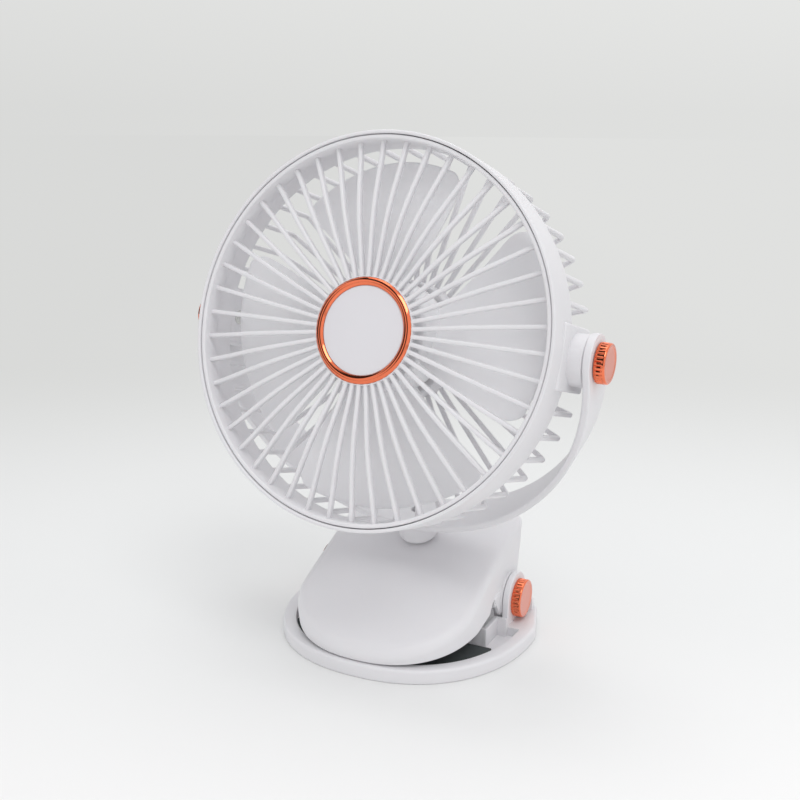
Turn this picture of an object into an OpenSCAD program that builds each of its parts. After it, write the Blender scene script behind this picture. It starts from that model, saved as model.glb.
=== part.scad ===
// Rechargeable clip-on fan: a caged head in a half-ring yoke, on a spring clip.
// Origin: on the table, straight below the point where the yoke sits on the clip.
// +Z is up, the fan faces -Y, +X is to the right of someone who looks along +Y.
// Millimetres throughout.

/* [Lower jaw] */
// Half of the plate's greatest width
plate_half_w = 56.3; // [54:0.1:62]
// Reach of the plate in front of the origin
plate_front = 64.5; // [63.5:0.1:75]
// Reach of the plate behind the origin
plate_rear = 24; // [23:0.5:34]
// How far in front of the origin the plate is widest
plate_wide_y = 2.8; // [0:0.1:8]
// Squareness of the front half of the outline, where 2 is an ellipse
plate_front_power = 2.25; // [2:0.05:3]
// Length of the plate's straight sides where it is widest
plate_flat = 2; // [1:0.5:6]
// Taper of the sides behind that, degrees
plate_taper = 16.5; // [8:0.5:17.5]
// Radius of the plate's rear corners
plate_corner_r = 8; // [7:0.5:12]
// Thickness of the floor inside the rim
floor_t = 2; // [1.6:0.1:3]
// Height of the rim above the table
rim_h = 6; // [5:0.1:6.2]
// Width of the rim
rim_w = 5.8; // [4:0.1:8]
// Bevel along the top and the bottom of the rim
rim_bevel = 0.7; // [0.3:0.1:1.2]
// Place of the cross wall's front face, in front of the origin
wall_front = 20.6; // [16:0.1:26]
// Height of the cross wall and of the side walls behind it, above the table
wall_h = 10.2; // [7:0.1:11]
// Thickness of the cross wall and of the side walls
wall_t = 2; // [1.4:0.1:3]
// Thickness of the rubber pad on the floor
pad_t = 1.1; // [0.6:0.1:2]
// Thickness of the anti-slip sheet let into the underside
grip_t = 0.8; // [0.5:0.1:1.2]

/* [Hinge] */
// Place of the hinge axis behind the origin
hinge_y = 5.2; // [3:0.1:5.6]
// Height of the hinge axis above the table
hinge_z = 15.6; // [15:0.1:16.2]
// Gap between the shell's side and each ear, filled by the shell's hinge lobe
ear_gap = 0.9; // [0.6:0.1:6]
// Thickness of each ear
ear_t = 2.8; // [2:0.1:3]
// Radius of the round top of each ear
ear_r = 11.3; // [10:0.1:12]
// Radius of the fluted knobs on the hinge pin
clip_knob_r = 8.4; // [7:0.1:8.8]
// Radius of the hinge pin
pin_r = 2.5; // [1.6:0.1:2.6]
// Radius of the wire of the torsion spring
wire_r = 0.7; // [0.5:0.05:0.8]
// Number of turns of the torsion spring
spring_turns = 6; // [4:1:8]

/* [Clip shell] */
// Half of the shell's greatest width
clip_half_w = 41.6; // [40:0.1:44]
// Length of the shell's underside behind the yoke's seat
back_room = 14; // [11:0.1:16]
// Length of the rounded nose along the underside
nose_len = 41.8; // [34:0.1:46]
// Squareness of the nose's outline, where 2 is an ellipse
nose_power = 2.3; // [2:0.05:3]
// Radius over the nose
nose_r = 4.5; // [3:0.1:5]
// Radius along both sides of the top
top_r = 3.2; // [2.6:0.1:7]
// How much narrower the top is than the underside, each side
side_draft = 1.6; // [0:0.1:3]
// Radius of the rear corners
rear_r = 3.5; // [2.5:0.1:8]
// Radius over the top rear edge
back_top_r = 2.3; // [1.9:0.1:4]
// Slope of the shell's underside, degrees
under_slope = 11.5; // [9:0.1:13]
// Slope of the front part of the top, degrees
top_slope = 22.4; // [20:0.1:24]
// How far the back leans away from the upright on the underside, degrees
back_lean = 34; // [28:0.5:38]
// Wall of the shell
shell_t = 1.8; // [1.4:0.1:2.2]
// Thickness of the bottom cover
cover_t = 1.6; // [1.2:0.1:2]

/* [Inside the clip] */
// Lithium cell: width and depth
cell_w = 60; // [40:1:62]
cell_d = 30; // [20:1:30]
// Gap between the cell's front edge and the shell above it
cell_gap = 3; // [0.3:0.1:4]
// Control board: width, height and thickness
board_w = 54; // [46:1:58]
board_h = 13; // [11:0.5:13.5]
board_t = 1.2; // [0.8:0.1:1.6]
// Depth of the control board behind the back face
board_depth = 6.4; // [6:0.1:7]
// Radius of the power button
button_r = 4.8; // [3.5:0.1:5.5]
// How far the power button stands out of the back face
button_proud = 1.2; // [0.6:0.1:2]
// Travel of the power button
button_travel = 0.5; // [0.2:0.1:0.6]
// Charging port: opening width and height
port_w = 8.9; // [8:0.1:10]
port_h = 3.2; // [2.6:0.1:3.4]
// Radius of the status light
light_r = 1.5; // [1:0.1:2]
// Height of the button, the port and the light up the back face
back_y = 11.2; // [10.8:0.1:11.6]
// Sideways places of the button, the port and the status light
button_x = 0; // [-4:1:4]
port_x = 16; // [12:1:18]
light_x = -13; // [-18:1:-9]

/* [Swivel and yoke] */
// Height of the yoke's seat on the clip above the table
seat_z = 38.8; // [38.4:0.1:39.4]
// Forward lean of the swivel axis, degrees
lean = 17.3; // [15:0.1:19]
// Turn of the yoke on the clip, degrees
head_turn = -2.5; // [-30:0.5:30]
// Radius of the swivel stem, and of the bore for the leads through it
stem_r = 4.5; // [4:0.1:5]
lead_bore_r = 2; // [1.2:0.1:2.5]
// Height and radius of the collar under the yoke
collar_h = 11; // [9:0.5:20]
collar_r = 8.8; // [7.5:0.1:10]
// Radius of the collar's lower edge
collar_edge_r = 3; // [1:0.1:4]
// Width of the yoke's strip
strip_w = 21.6; // [20:0.1:24]
// Thickness of the yoke's strip
strip_t = 2.9; // [2.4:0.1:3.6]
// Gap between the head's band and the yoke's half ring
yoke_gap = 6.3; // [5.7:0.1:12]
// How far the ring's centre lies below the tilt axis
ring_drop = 2.5; // [0:0.1:4]

/* [Head] */
// Upward tilt of the head at rest, degrees
tilt = 15.5; // [-30:0.5:60]
// Distance from the tilt axis forward to the seam of the front grille
seam_front = 24.4; // [20:0.1:26]
// Outer radius of the housing band
band_r = 77.5; // [72:0.5:90]
// Depth of the housing band behind the seam
band_d = 19; // [16:0.5:21]
// How far the band's lip stands in front of the seam
lip_d = 0.6; // [0:0.1:1.5]
// Wall of the band in front of the ledge, beside the grille
lip_t = 1.4; // [1.2:0.1:2]
// Wall of the band behind the ledge
band_t = 2.9; // [2.2:0.1:3.2]
// Depth of the whole head behind the seam
head_d = 44.2; // [42:0.1:50]
// Number of bars, in front and behind
bars = 46; // [24:2:50]
// Turn of the bars about the fan's axis, degrees
bar_turn = -0.25; // [-4:0.05:4]
// Width of a front bar
spoke_w = 1.7; // [1.2:0.1:2.2]
// Depth of a front bar
spoke_d = 2.6; // [2:0.1:3]
// Width of a rear bar
cage_w = 1.9; // [1.4:0.1:2.2]
// Depth of a rear bar
cage_t = 2.1; // [1.6:0.1:2.6]
// Radius of the bend of a rear bar
cage_bend = 3; // [2.6:0.1:6]
// Depth of the grille's skirt inside the band
skirt_d = 8; // [5:0.5:10]
// Wall of the grille's skirt
skirt_t = 1.7; // [1.4:0.1:2.4]
// Radius of the pivot bosses
boss_r = 10; // [8:0.1:10.6]
// Gap between a pivot boss and the yoke
boss_gap = 0.3; // [0.2:0.1:0.6]
// Width and depth of the block that carries a boss
block_w = 25; // [21:0.5:30]
block_d = 38; // [36:0.5:39]
// Radius of the tilt pins
tilt_pin_r = 3; // [2:0.1:3.4]

/* [Hub and trim] */
// Outer radius of the trim ring
ring_r = 20.7; // [18:0.1:23]
// Width of the trim ring
ring_w = 3.2; // [2:0.1:4]
// How far the trim ring stands in front of the seam
ring_proud = 0.8; // [0.2:0.1:1.5]
// How far the middle of the hub cap stands in front of the seam
cap_proud = 0.3; // [0:0.1:0.7]
// Radius of the fluted knobs on the tilt pins
knob_r = 7.8; // [6.5:0.1:8.6]
// Length of a fluted knob
knob_len = 4.3; // [3.5:0.1:6]
// Number of flutes around a knob
flutes = 28; // [16:1:36]

/* [Rotor] */
// Gap between the blade tips and the outside of the band
tip_gap = 8.5; // [7.5:0.5:20]
// Outer radius of the impeller's hub
hub_r = 22.5; // [21.6:0.1:24]
// Depth of the hub's front face behind the seam
hub_front_d = 9; // [8:0.1:10]
// Gap between the hub's rear edge and the motor bay
hub_gap = 3.5; // [3:0.1:5]
// Wall of the hub
hub_t = 1.6; // [1.2:0.1:1.8]
// Number of blades
blades = 4; // [3:1:5]
// Half of the angle that one blade covers, degrees
blade_half = 35; // [20:0.5:35]
// Turn of the first blade at rest, degrees
blade_turn = 5; // [-45:1:45]
// Thickness of a blade at its root
blade_root_t = 2.2; // [1.4:0.1:2.6]
// Thickness of a blade at its tip
blade_tip_t = 1.2; // [0.8:0.1:1.4]
// Radius of the motor shaft
shaft_r = 1.5; // [1:0.1:1.5]
// Wall of the steel rotor can
can_t = 1; // [0.6:0.1:1.1]
// Thickness of the magnet ring
magnet_t = 2; // [1.2:0.1:2.2]
// Number of stator teeth
teeth = 6; // [3:3:9]
// Outer radius and wall of the bearing tube
tube_r = 4.6; // [4.3:0.1:5]
tube_t = 1.2; // [0.8:0.1:1.3]
// Width of a ball bearing
bearing_w = 2.5; // [2:0.1:3]
// Radius and wall of the motor bay
bay_r = 24.5; // [24:0.1:27]
bay_t = 1.8; // [1.4:0.1:2.2]
// Depth of the motor bay, front wall and all
bay_d = 11.2; // [10.6:0.1:14]

/* [Clearances] */
// Gap between pieces that are fitted together and don't move
fit = 0.1; // [0.05:0.01:0.15]
// Radial gap of a turning or sliding fit
running = 0.05; // [0.02:0.01:0.08]
// Gap between moving pieces that never touch
clear = 0.3; // [0.2:0.05:0.5]

/* [Hidden] */
$fn = 96;
curve_steps = 40;

ear_in = clip_half_w + ear_gap;
ear_out = ear_in + ear_t;
clip_wide = ear_in - clear;

// The shell's nose rests just above the rim, a little behind its front edge
nose_gap = 0.4;
nose_back = 1.9;
nose_y = nose_back - plate_front;
nose_z = rim_h + nose_gap;

// Places in the shell's own frame: y along the underside, z square to it
function clip_y(y, z) = (y - nose_y) * cos(under_slope) + (z - nose_z) * sin(under_slope);
function clip_z(y, z) = (z - nose_z) * cos(under_slope) - (y - nose_y) * sin(under_slope);
hinge_cy = clip_y(hinge_y, hinge_z);
hinge_cz = clip_z(hinge_y, hinge_z);
seat_cy = clip_y(0, seat_z);
seat_cz = clip_z(0, seat_z);
front_rise = top_slope - under_slope;
seat_rise = lean - under_slope;
clip_len = seat_cy + back_room;

// Depths below the yoke's seat, along the swivel axis
seat_r = collar_r + 1.4;
seat_depth = 4.2;
washer_t = 0.8;
nut_t = 2.4;
nut_r = 6.5;
stem_depth = seat_depth + washer_t + running + nut_t + 0.4;

// The yoke's half ring clears the band, and the tilt axis stands above its middle
yoke_r = band_r + yoke_gap;
pivot_up = clear + collar_h + strip_t + yoke_r + ring_drop;

// The tilt pins and what they pass through, outward from the middle
boss_end = yoke_r - boss_gap;
yoke_out = yoke_r + strip_t;
knob_in = yoke_out + clear;
knob_out = knob_in + knob_len;
tilt_washer_t = 0.8;
tilt_washer_r = 7;
ear_round_r = strip_w / 2;

// Radii and depths inside the head
block_proud = 1;
skirt_r = band_r - lip_t - fit;
cage_r = band_r - 0.3;
cage_back_d = head_d - 0.3;
spoke_out = skirt_r - skirt_t + 0.5;
hub_seat_d = 1.2;
hub_plate_t = 2.4;
hub_plate_r = ring_r + fit + 0.4;
cap_r = ring_r - ring_w - fit / 2;

// The impeller and the motor, as depths behind the seam
tip_r = band_r - tip_gap;
bay_front_d = head_d - bay_d;
hub_rear_d = bay_front_d - hub_gap;
blade_front_d = hub_front_d + 2;
blade_rear_d = hub_rear_d - 1;
can_r = hub_r - hub_t - fit;
can_front_d = hub_front_d + hub_t + fit;
can_rear_d = hub_rear_d - 1;
magnet_r = can_r - can_t - running;
magnet_front_d = can_front_d + can_t + 2.5;
stator_r = magnet_r - magnet_t - 0.5;
stator_front_d = magnet_front_d + 2;
stator_d = 9;
tube_front_d = can_front_d + can_t + 1.2;
bearing_r = tube_r - tube_t - running;
bay_wall_d = bay_front_d + bay_t;
tube_rear_d = bay_wall_d + 2.4;
drive_board_d = tube_rear_d + fit;
drive_board_t = 1.2;
bay_cap_t = 1.8;
shaft_tail = 1.4;
core_r = tube_r + fit + 3;
tooth_w = 4;
tooth_shoe_t = 1.6;
coil_t = 2.2;
lead_r = 0.9;
lead_x = tip_r + 3.2;
lead_z = cage_t + lead_r + running - cage_back_d;

// Inside the clip: the cell lies on the cover, behind the nose and ahead of the spring
pin_wall = 0.6;
coil_r = pin_r + pin_wall + wire_r;
cell_back = hinge_cy - coil_r - wire_r - 2.6;
cell_front = cell_back - cell_d;
cell_z = clear + cover_t + fit;
cell_t = top_z(cell_front) - shell_t / cos(front_rise) - cell_z - cell_gap;
key_w = 6;
key_body_t = 2.6;
button_in = 2.6;

// Screws of the clip's cover and of the motor bay
screw_r = 1;
screw_bite = 0.02;
screw_head_r = 1.9;
screw_head_t = 1.1;
cover_screw_len = 6;
post_r = 2.6;
cover_screw_x = clip_half_w - 5.9;
cover_screws_y = [nose_len - 7.8, clip_len - 11.6];
bay_screws = 3;
bay_screw_r = bay_r - bay_t - 2.6;
bay_screw_len = 6;

// Torsion spring, drawn wound up as it is with the jaws wide open
jaw_open = 30;
spring_leg_rest = 45;
spring_x = 8;
spring_pitch = 2 * wire_r + 0.1;
spring_leg = 13;
spring_leg_angle = jaw_open + spring_leg_rest;
spring_down = -75;

// ---------------------------------------------------------------- frames

// The clip shell's frame: its underside is z = 0 and its nose is at y = 0
module on_clip() {
  translate([0, nose_y, nose_z])
    rotate([under_slope, 0, 0])
      children();
}

// The shell's back face: x to the right, y up along the face, z outward
module on_back() {
  on_clip()
    translate([0, clip_len, 0])
      rotate([90 + back_lean, 0, 180])
        mirror([1, 0, 0])
          children();
}

// The swivel axis: z runs up it from the yoke's seat
module on_swivel() {
  translate([0, 0, seat_z])
    rotate([lean, 0, 0])
      rotate([0, 0, head_turn])
        children();
}

// The fan: x along the tilt axis, y up across the grille, z forward from the seam
module on_head() {
  on_swivel()
    translate([0, 0, pivot_up])
      rotate([90 - lean - tilt, 0, 0])
        translate([0, 0, seam_front])
          children();
}

// Along +x from a distance x_from to x_to
module along_x(x_from, x_to) {
  translate([x_from, 0, 0])
    rotate([90, 0, 90])
      linear_extrude(x_to - x_from)
        children();
}

// ---------------------------------------------------------------- outlines

function signed_power(v, p) = sign(v) * pow(abs(v), p);

// Points of a superellipse from one angle to another
function superellipse(a, b, power, from, to) = [
  for (i = [0:curve_steps])
    let (t = from + (to - from) * i / curve_steps)
      [a * signed_power(cos(t), 2 / power), b * signed_power(sin(t), 2 / power)]
];

function arc(centre, r, from, to, steps = 8) = [
  for (i = [0:steps])
    let (t = from + (to - from) * i / steps)
      [centre[0] + r * cos(t), centre[1] + r * sin(t)]
];

// Points of the arc that rounds a corner, where a and b point along its two sides
function corner_arc(corner, a, b, r, steps = 6) =
  let (
    half = acos(a * b) / 2,
    centre = corner + (a + b) / norm(a + b) * r / sin(half),
    start = corner + a * r / tan(half) - centre,
    end = corner + b * r / tan(half) - centre,
    sweep = 180 - 2 * half
  )
    [for (i = [0:steps])
      centre + (sin(sweep * (1 - i / steps)) * start + sin(sweep * i / steps) * end) / sin(sweep)];

// The plate's outline: round in front, with tapered sides and round corners behind
module plate_outline(inset = 0) {
  half = plate_half_w - inset;
  rear = plate_rear - inset;
  side_y = plate_flat - plate_wide_y;
  corner = [half - (rear - side_y) * tan(plate_taper), rear];
  side = [sin(plate_taper), -cos(plate_taper)];
  right = corner_arc(corner, side, [-1, 0], plate_corner_r - inset);
  front = superellipse(
    half, plate_front - plate_wide_y - inset, plate_front_power, 180, 360
  );
  polygon(concat(
    [for (point = front) point - [0, plate_wide_y]],
    [[half, side_y]],
    right,
    [for (i = [len(right) - 1:-1:0]) [-right[i][0], right[i][1]]],
    [[-half, side_y]]
  ));
}

// The shell's outline from above: a round nose and straight sides that run on behind it
module clip_plan(inset = 0) {
  half = clip_half_w - inset;
  translate([0, nose_len])
    polygon(concat(
      superellipse(half, nose_len - inset, nose_power, 180, 360),
      [[half, 2 * clip_len], [-half, 2 * clip_len]]
    ));
}

// Height of the shell's top at a place y along its underside
function top_z(y) = y < seat_cy
  ? seat_cz - (seat_cy - y) * tan(front_rise)
  : seat_cz + (y - seat_cy) * tan(seat_rise);

// The shell from the side: y to the right, z up
module clip_side(inset = 0, bottom = 0) {
  r = nose_r - inset;
  drop_front = inset / cos(front_rise);
  drop_rear = inset / cos(seat_rise);
  nose_top = top_z(nose_r) - nose_r / cos(front_rise);
  back = clip_len - inset / cos(back_lean);
  back_top_z = (top_z(back) - drop_rear) / (1 - tan(seat_rise) * tan(back_lean));
  back_top = [back + back_top_z * tan(back_lean), back_top_z];
  polygon(concat(
    [[inset, bottom]],
    arc([nose_r, nose_top], r, 180, 90 + front_rise),
    [[seat_cy, seat_cz - (drop_front + drop_rear) / 2]],
    corner_arc(
      back_top, -[cos(seat_rise), sin(seat_rise)], -[sin(back_lean), cos(back_lean)],
      back_top_r - inset
    ),
    [[back + bottom * tan(back_lean), bottom]]
  ));
}

// The shell seen along its sloping top: rounded along both sides, slightly narrower above
module clip_section(inset = 0) {
  half = clip_half_w - side_draft - inset;
  r = top_r - inset;
  depth = 2 * seat_cz;
  foot = half + side_draft * depth / seat_cz;
  polygon(concat(
    [[foot, -depth]],
    arc([half - r, -inset - r], r, 0, 90),
    arc([r - half, -inset - r], r, 90, 180),
    [[-foot, -depth]]
  ));
}

// The shell's outer form, or its hollow with an inset, down to z = bottom
module clip_form(inset = 0, bottom = 0) {
  intersection() {
    along_x(-2 * clip_half_w, 2 * clip_half_w)
      clip_side(inset, bottom);
    translate([0, 0, bottom - 1])
      linear_extrude(clip_len)
        clip_plan(inset);
    translate([0, seat_cy, seat_cz])
      rotate([front_rise, 0, 0])
        translate([0, clip_len, 0])
          rotate([90, 0, 0])
            linear_extrude(2 * clip_len)
              clip_section(inset);
    clip_back_corners(inset);
  }
}

// Rounds the two rear corners, square to the back face
module clip_back_corners(inset) {
  half = clip_half_w - inset;
  r = rear_r - inset;
  translate([0, clip_len, 0])
    rotate([-back_lean, 0, 0])
      translate([0, 0, -clip_len])
        linear_extrude(2 * clip_len)
          polygon(concat(
            [[half, -2 * clip_len]],
            arc([half - r, -inset - r], r, 0, 90),
            arc([r - half, -inset - r], r, 90, 180),
            [[-half, -2 * clip_len]]
          ));
}

// ---------------------------------------------------------------- clip, fixed half

module ear_solid() {
  bottom = floor_t - 0.5;
  along_x(ear_in, ear_out) {
    translate([hinge_y, hinge_z])
      circle(ear_r);
    translate([hinge_y - ear_r, bottom])
      square([2 * ear_r, hinge_z - bottom]);
  }
}

// Raised ground beside an ear, and the fin behind its knob
module ear_foot() {
  foot_behind = 8;
  fin_t = 4;
  fin_h = 11.5;
  back = hinge_y + ear_r;
  intersection() {
    union() {
      translate([ear_in, hinge_y - ear_r, 0])
        cube([plate_half_w, 2 * ear_r + foot_behind, rim_h]);
      along_x(ear_out - 0.5, ear_out + fin_t)
        translate([back, 0])
          polygon([[-2, rim_h - 1], [-2, fin_h], [0, fin_h], [2.2, rim_h - 1]]);
    }
    linear_extrude(rim_h + fin_h)
      plate_outline(rim_bevel);
  }
}

module lower_jaw() {
  side_wall_x = clip_half_w - 0.6;
  side_wall_end = hinge_y - ear_r + 0.5;
  color("whitesmoke")
    difference() {
      union() {
        difference() {
          union() {
            linear_extrude(rim_bevel)
              plate_outline(rim_bevel);
            translate([0, 0, rim_bevel])
              linear_extrude(rim_h - 2 * rim_bevel)
                plate_outline();
            translate([0, 0, rim_h - rim_bevel])
              linear_extrude(rim_bevel)
                plate_outline(rim_bevel);
          }
          translate([0, 0, floor_t])
            linear_extrude(rim_h)
              plate_outline(rim_w);
        }
        for (side = [0, 1])
          mirror([side, 0, 0]) {
            ear_solid();
            ear_foot();
            translate([side_wall_x - wall_t, -wall_front, floor_t])
              cube([wall_t, wall_front + side_wall_end, wall_h - floor_t]);
            translate([side_wall_x - wall_t, side_wall_end - wall_t, floor_t])
              cube([ear_out - side_wall_x + wall_t, wall_t, wall_h - floor_t]);
          }
        translate([-side_wall_x, -wall_front, floor_t])
          cube([2 * side_wall_x, wall_t, wall_h - floor_t]);
      }
      along_x(-ear_out - 1, ear_out + 1)
        translate([hinge_y, hinge_z])
          circle(pin_r + running);
      translate([0, 0, -1])
        linear_extrude(grip_t + 1)
          plate_outline(rim_w);
    }
}

module lower_pad() {
  gap = 1.6;
  back = -wall_front - gap;
  half = plate_half_w - rim_w - 6.5;
  color("dimgray")
    translate([0, 0, floor_t])
      linear_extrude(pad_t)
        intersection() {
          plate_outline(rim_w + fit);
          translate([-half, -plate_front])
            square([2 * half, plate_front + back]);
        }
}

module base_grip() {
  color("dimgray")
    linear_extrude(grip_t)
      plate_outline(rim_w + fit);
}

module hinge_pin() {
  color("silver")
    along_x(-ear_out - knob_len * 0.6, ear_out + knob_len * 0.6)
      translate([hinge_y, hinge_z])
        circle(pin_r);
}

// A fluted knob of radius r from x = 0 outward, with a blind bore for a pin
module knob(r, bore_r, bore_depth) {
  edge = 0.5;
  flute_r = 0.42;
  color("#d9744f")
    difference() {
      rotate([90, 0, 90])
        rotate_extrude()
          polygon([
            [0, 0], [r, 0], [r, knob_len - edge],
            [r - edge, knob_len], [0, knob_len]
          ]);
      along_x(-1, knob_len * 0.72)
        for (i = [0:flutes - 1])
          rotate(i * 360 / flutes)
            translate([r + 0.1, 0])
              circle(flute_r, $fn = 16);
      along_x(-1, bore_depth)
        circle(bore_r);
    }
}

module hinge_knob_right() {
  translate([ear_out, hinge_y, hinge_z])
    knob(clip_knob_r, pin_r + fit / 2, knob_len * 0.6 + fit);
}

module hinge_knob_left() {
  mirror([1, 0, 0])
    hinge_knob_right();
}

// A round wire along straight stretches, with balls at its corners
module wire(points, r) {
  for (i = [0:len(points) - 2])
    let (step = points[i + 1] - points[i], length = norm(step)) {
      translate(points[i])
        rotate([0, acos(step[2] / length), atan2(step[1], step[0])])
          cylinder(h = length, r = r, $fn = 24);
      translate(points[i])
        sphere(r, $fn = 24);
    }
  translate(points[len(points) - 1])
    sphere(r, $fn = 24);
}

// A round wire swept along points that lie close together
module swept_wire(points, r, sides = 8) {
  last = len(points) - 1;
  function heading(i) = let (d = points[min(i + 1, last)] - points[max(i - 1, 0)]) d / norm(d);
  rings = [
    for (i = [0:last])
      let (
        ahead = heading(i),
        across = cross(ahead, [0.31, 0.95, 0.05]),
        u = across / norm(across),
        v = cross(ahead, u)
      )
        for (k = [0:sides - 1])
          points[i] + r * (cos(k * 360 / sides) * u + sin(k * 360 / sides) * v)
  ];
  walls = [
    for (i = [0:last - 1], k = [0:sides - 1])
      let (a = i * sides + k, b = i * sides + (k + 1) % sides)
        each [[a, b, b + sides], [a, b + sides, a + sides]]
  ];
  polyhedron(rings, concat(
    [[for (k = [sides - 1:-1:0]) k]],
    walls,
    [[for (k = [0:sides - 1]) last * sides + k]]
  ));
}

// Turns side by side on the pin, one leg down to the lower jaw, one inside the shell
module torsion_spring() {
  first = spring_down + 90;
  turned = 360 * spring_turns + spring_leg_angle - 90 - first;
  steps = 16 * spring_turns;
  coil = [
    for (i = [0:steps])
      let (t = first + turned * i / steps)
        [spring_x + spring_pitch * turned / 360 * i / steps, coil_r * cos(t), coil_r * sin(t)]
  ];
  down = [0, cos(spring_down), sin(spring_down)];
  inward = [0, cos(spring_leg_angle), sin(spring_leg_angle)];
  foot_gap = 0.2;
  drop = hinge_z - floor_t - wire_r - foot_gap + coil[0][2];
  color("silver")
    translate([0, hinge_y, hinge_z])
      swept_wire(concat(
        [coil[0] - down * drop / sin(spring_down), coil[0] + down],
        coil,
        [coil[steps] + spring_leg * inward]
      ), wire_r);
}

// ---------------------------------------------------------------- clip, moving half

module on_cover_screws() {
  for (side = [-1, 1], y = cover_screws_y)
    translate([side * cover_screw_x, y, 0])
      children();
}

// The wall around a hole in the back face, where z = 0 is the face
module back_hole(x, y) {
  on_back()
    translate([x, y, -shell_t - 1])
      linear_extrude(shell_t + 3)
        children();
}

module port_outline(grow = 0) {
  round_r = (port_h + 2 * grow) / 2;
  flat = port_w + 2 * grow - 2 * round_r;
  translate([-flat / 2, -round_r])
    square([flat, 2 * round_r]);
  for (side = [-1, 1])
    translate([side * flat / 2, 0])
      circle(round_r);
}

module board_posts() {
  post_x = board_w / 2 - 2.5;
  for (side = [-1, 1], y = [back_y - board_h / 2 + 2.5, back_y + board_h / 2 - 2.5])
    on_back()
      translate([side * post_x, y, -board_depth])
        cylinder(h = board_depth - shell_t / 2, r = 1.5);
}

// The hinge lobe under a side wall, with a web that slopes down to it in front
module hinge_lobe() {
  lobe_r = ear_r - clear;
  web_ahead = 18;
  web_up = 4.5;
  translate([hinge_y, hinge_z]) {
    circle(lobe_r);
    polygon([
      [-web_ahead, web_up], [0.3 - lobe_r, -5], [0, 0], [0, lobe_r - 2], [-web_ahead, web_up + 1]
    ]);
  }
}

// The notch in a side wall's lower edge, in front of the web
module wall_notch() {
  translate([hinge_y, hinge_z])
    polygon([[-25, -2], [-18.8, 4.4], [-17.8, 4.4], [-17, 0], [-20, -4]]);
}

module clip_shell() {
  cheek_in = clip_half_w - shell_t - side_draft;
  color("white")
    difference() {
      union() {
        difference() {
          union() {
            on_clip()
              clip_form();
            for (side = [0, 1])
              mirror([side, 0, 0]) {
                along_x(cheek_in, clip_wide)
                  translate([hinge_y, hinge_z])
                    circle(ear_r - clear);
                along_x(clip_half_w - shell_t, clip_half_w)
                  hinge_lobe();
              }
          }
          on_clip()
            clip_form(shell_t, -2);
        }
        on_swivel()
          translate([0, 0, -seat_depth])
            cylinder(h = seat_depth, r = seat_r);
        on_clip()
          intersection() {
            on_cover_screws()
              translate([0, 0, cover_t + clear])
                cylinder(h = 40, r = post_r);
            clip_form(shell_t / 2);
          }
        board_posts();
      }
      along_x(-clip_wide - 1, clip_wide + 1)
        translate([hinge_y, hinge_z])
          circle(pin_r + running);
      on_swivel()
        translate([0, 0, -seat_depth - 1])
          cylinder(h = seat_depth + 2, r = stem_r + running);
      for (side = [0, 1])
        mirror([side, 0, 0])
          along_x(clip_half_w - 2 * shell_t, clip_wide + 1)
            wall_notch();
      on_clip()
        on_cover_screws()
          cylinder(h = cover_screw_len + 1, r = screw_r + screw_bite);
      back_hole(button_x, back_y)
        circle(button_r + running);
      back_hole(port_x, back_y)
        port_outline(fit);
      back_hole(light_x, back_y)
        circle(light_r + running);
    }
}

module clip_cover() {
  window_w = spring_turns * spring_pitch + 4;
  color("gainsboro")
    on_clip()
      difference() {
        intersection() {
          clip_form(shell_t + fit, -2);
          translate([-clip_half_w, 0, clear])
            cube([2 * clip_half_w, 2 * clip_len, cover_t]);
        }
        translate([spring_x - wire_r - 2, hinge_cy - coil_r - 2, -1])
          cube([window_w, coil_r + 14, cover_t + 3]);
        on_cover_screws()
          cylinder(h = cover_t + 2, r = screw_r + running);
        on_cover_screws()
          translate([0, 0, -1])
            cylinder(h = 1 + clear + screw_head_t, r = screw_head_r + fit);
      }
}

module screw(length) {
  cylinder(h = screw_head_t, r = screw_head_r);
  cylinder(h = length, r = screw_r);
}

module cover_screws() {
  color("silver")
    on_clip()
      on_cover_screws()
        translate([0, 0, clear])
          screw(cover_screw_len);
}

module jaw_pad() {
  pad_inset = 6;
  pad_len = 24;
  pad_depth = 1.8;
  color("dimgray")
    on_clip()
      translate([0, 0, clear - pad_depth])
        linear_extrude(pad_depth)
          intersection() {
            clip_plan(pad_inset);
            translate([-clip_half_w, 0])
              square([2 * clip_half_w, pad_inset + pad_len]);
          }
}

module battery_cell() {
  edge = 2.5;
  color("lightsteelblue")
    on_clip()
      translate([-cell_w / 2, cell_front, cell_z])
        linear_extrude(cell_t)
          translate([edge, edge]) {
            translate([-edge, 0])
              square([cell_w, cell_d - 2 * edge]);
            translate([0, -edge])
              square([cell_w - 2 * edge, cell_d]);
            for (x = [0, cell_w - 2 * edge], y = [0, cell_d - 2 * edge])
              translate([x, y])
                circle(edge);
          }
}

module control_board() {
  color("darkgreen")
    on_back()
      translate([-board_w / 2, back_y - board_h / 2, -board_depth - board_t])
        cube([board_w, board_h, board_t]);
}

module key_switch() {
  key_top = -button_in - button_travel - running;
  color("dimgray")
    on_back()
      translate([button_x, back_y, -board_depth]) {
        translate([-key_w / 2, -key_w / 2, 0])
          cube([key_w, key_w, key_body_t]);
        cylinder(h = board_depth + key_top, r = 1.6);
      }
}

module charging_port() {
  lining = 0.3;
  color("silver")
    on_back()
      translate([port_x, back_y, -board_depth])
        difference() {
          linear_extrude(board_depth - 0.2)
            port_outline();
          translate([0, 0, 1])
            linear_extrude(board_depth)
              port_outline(-lining);
        }
}

module status_light() {
  color("lightcyan")
    on_back()
      translate([light_x, back_y, -board_depth])
        cylinder(h = board_depth + 0.1, r = light_r);
}

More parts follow.
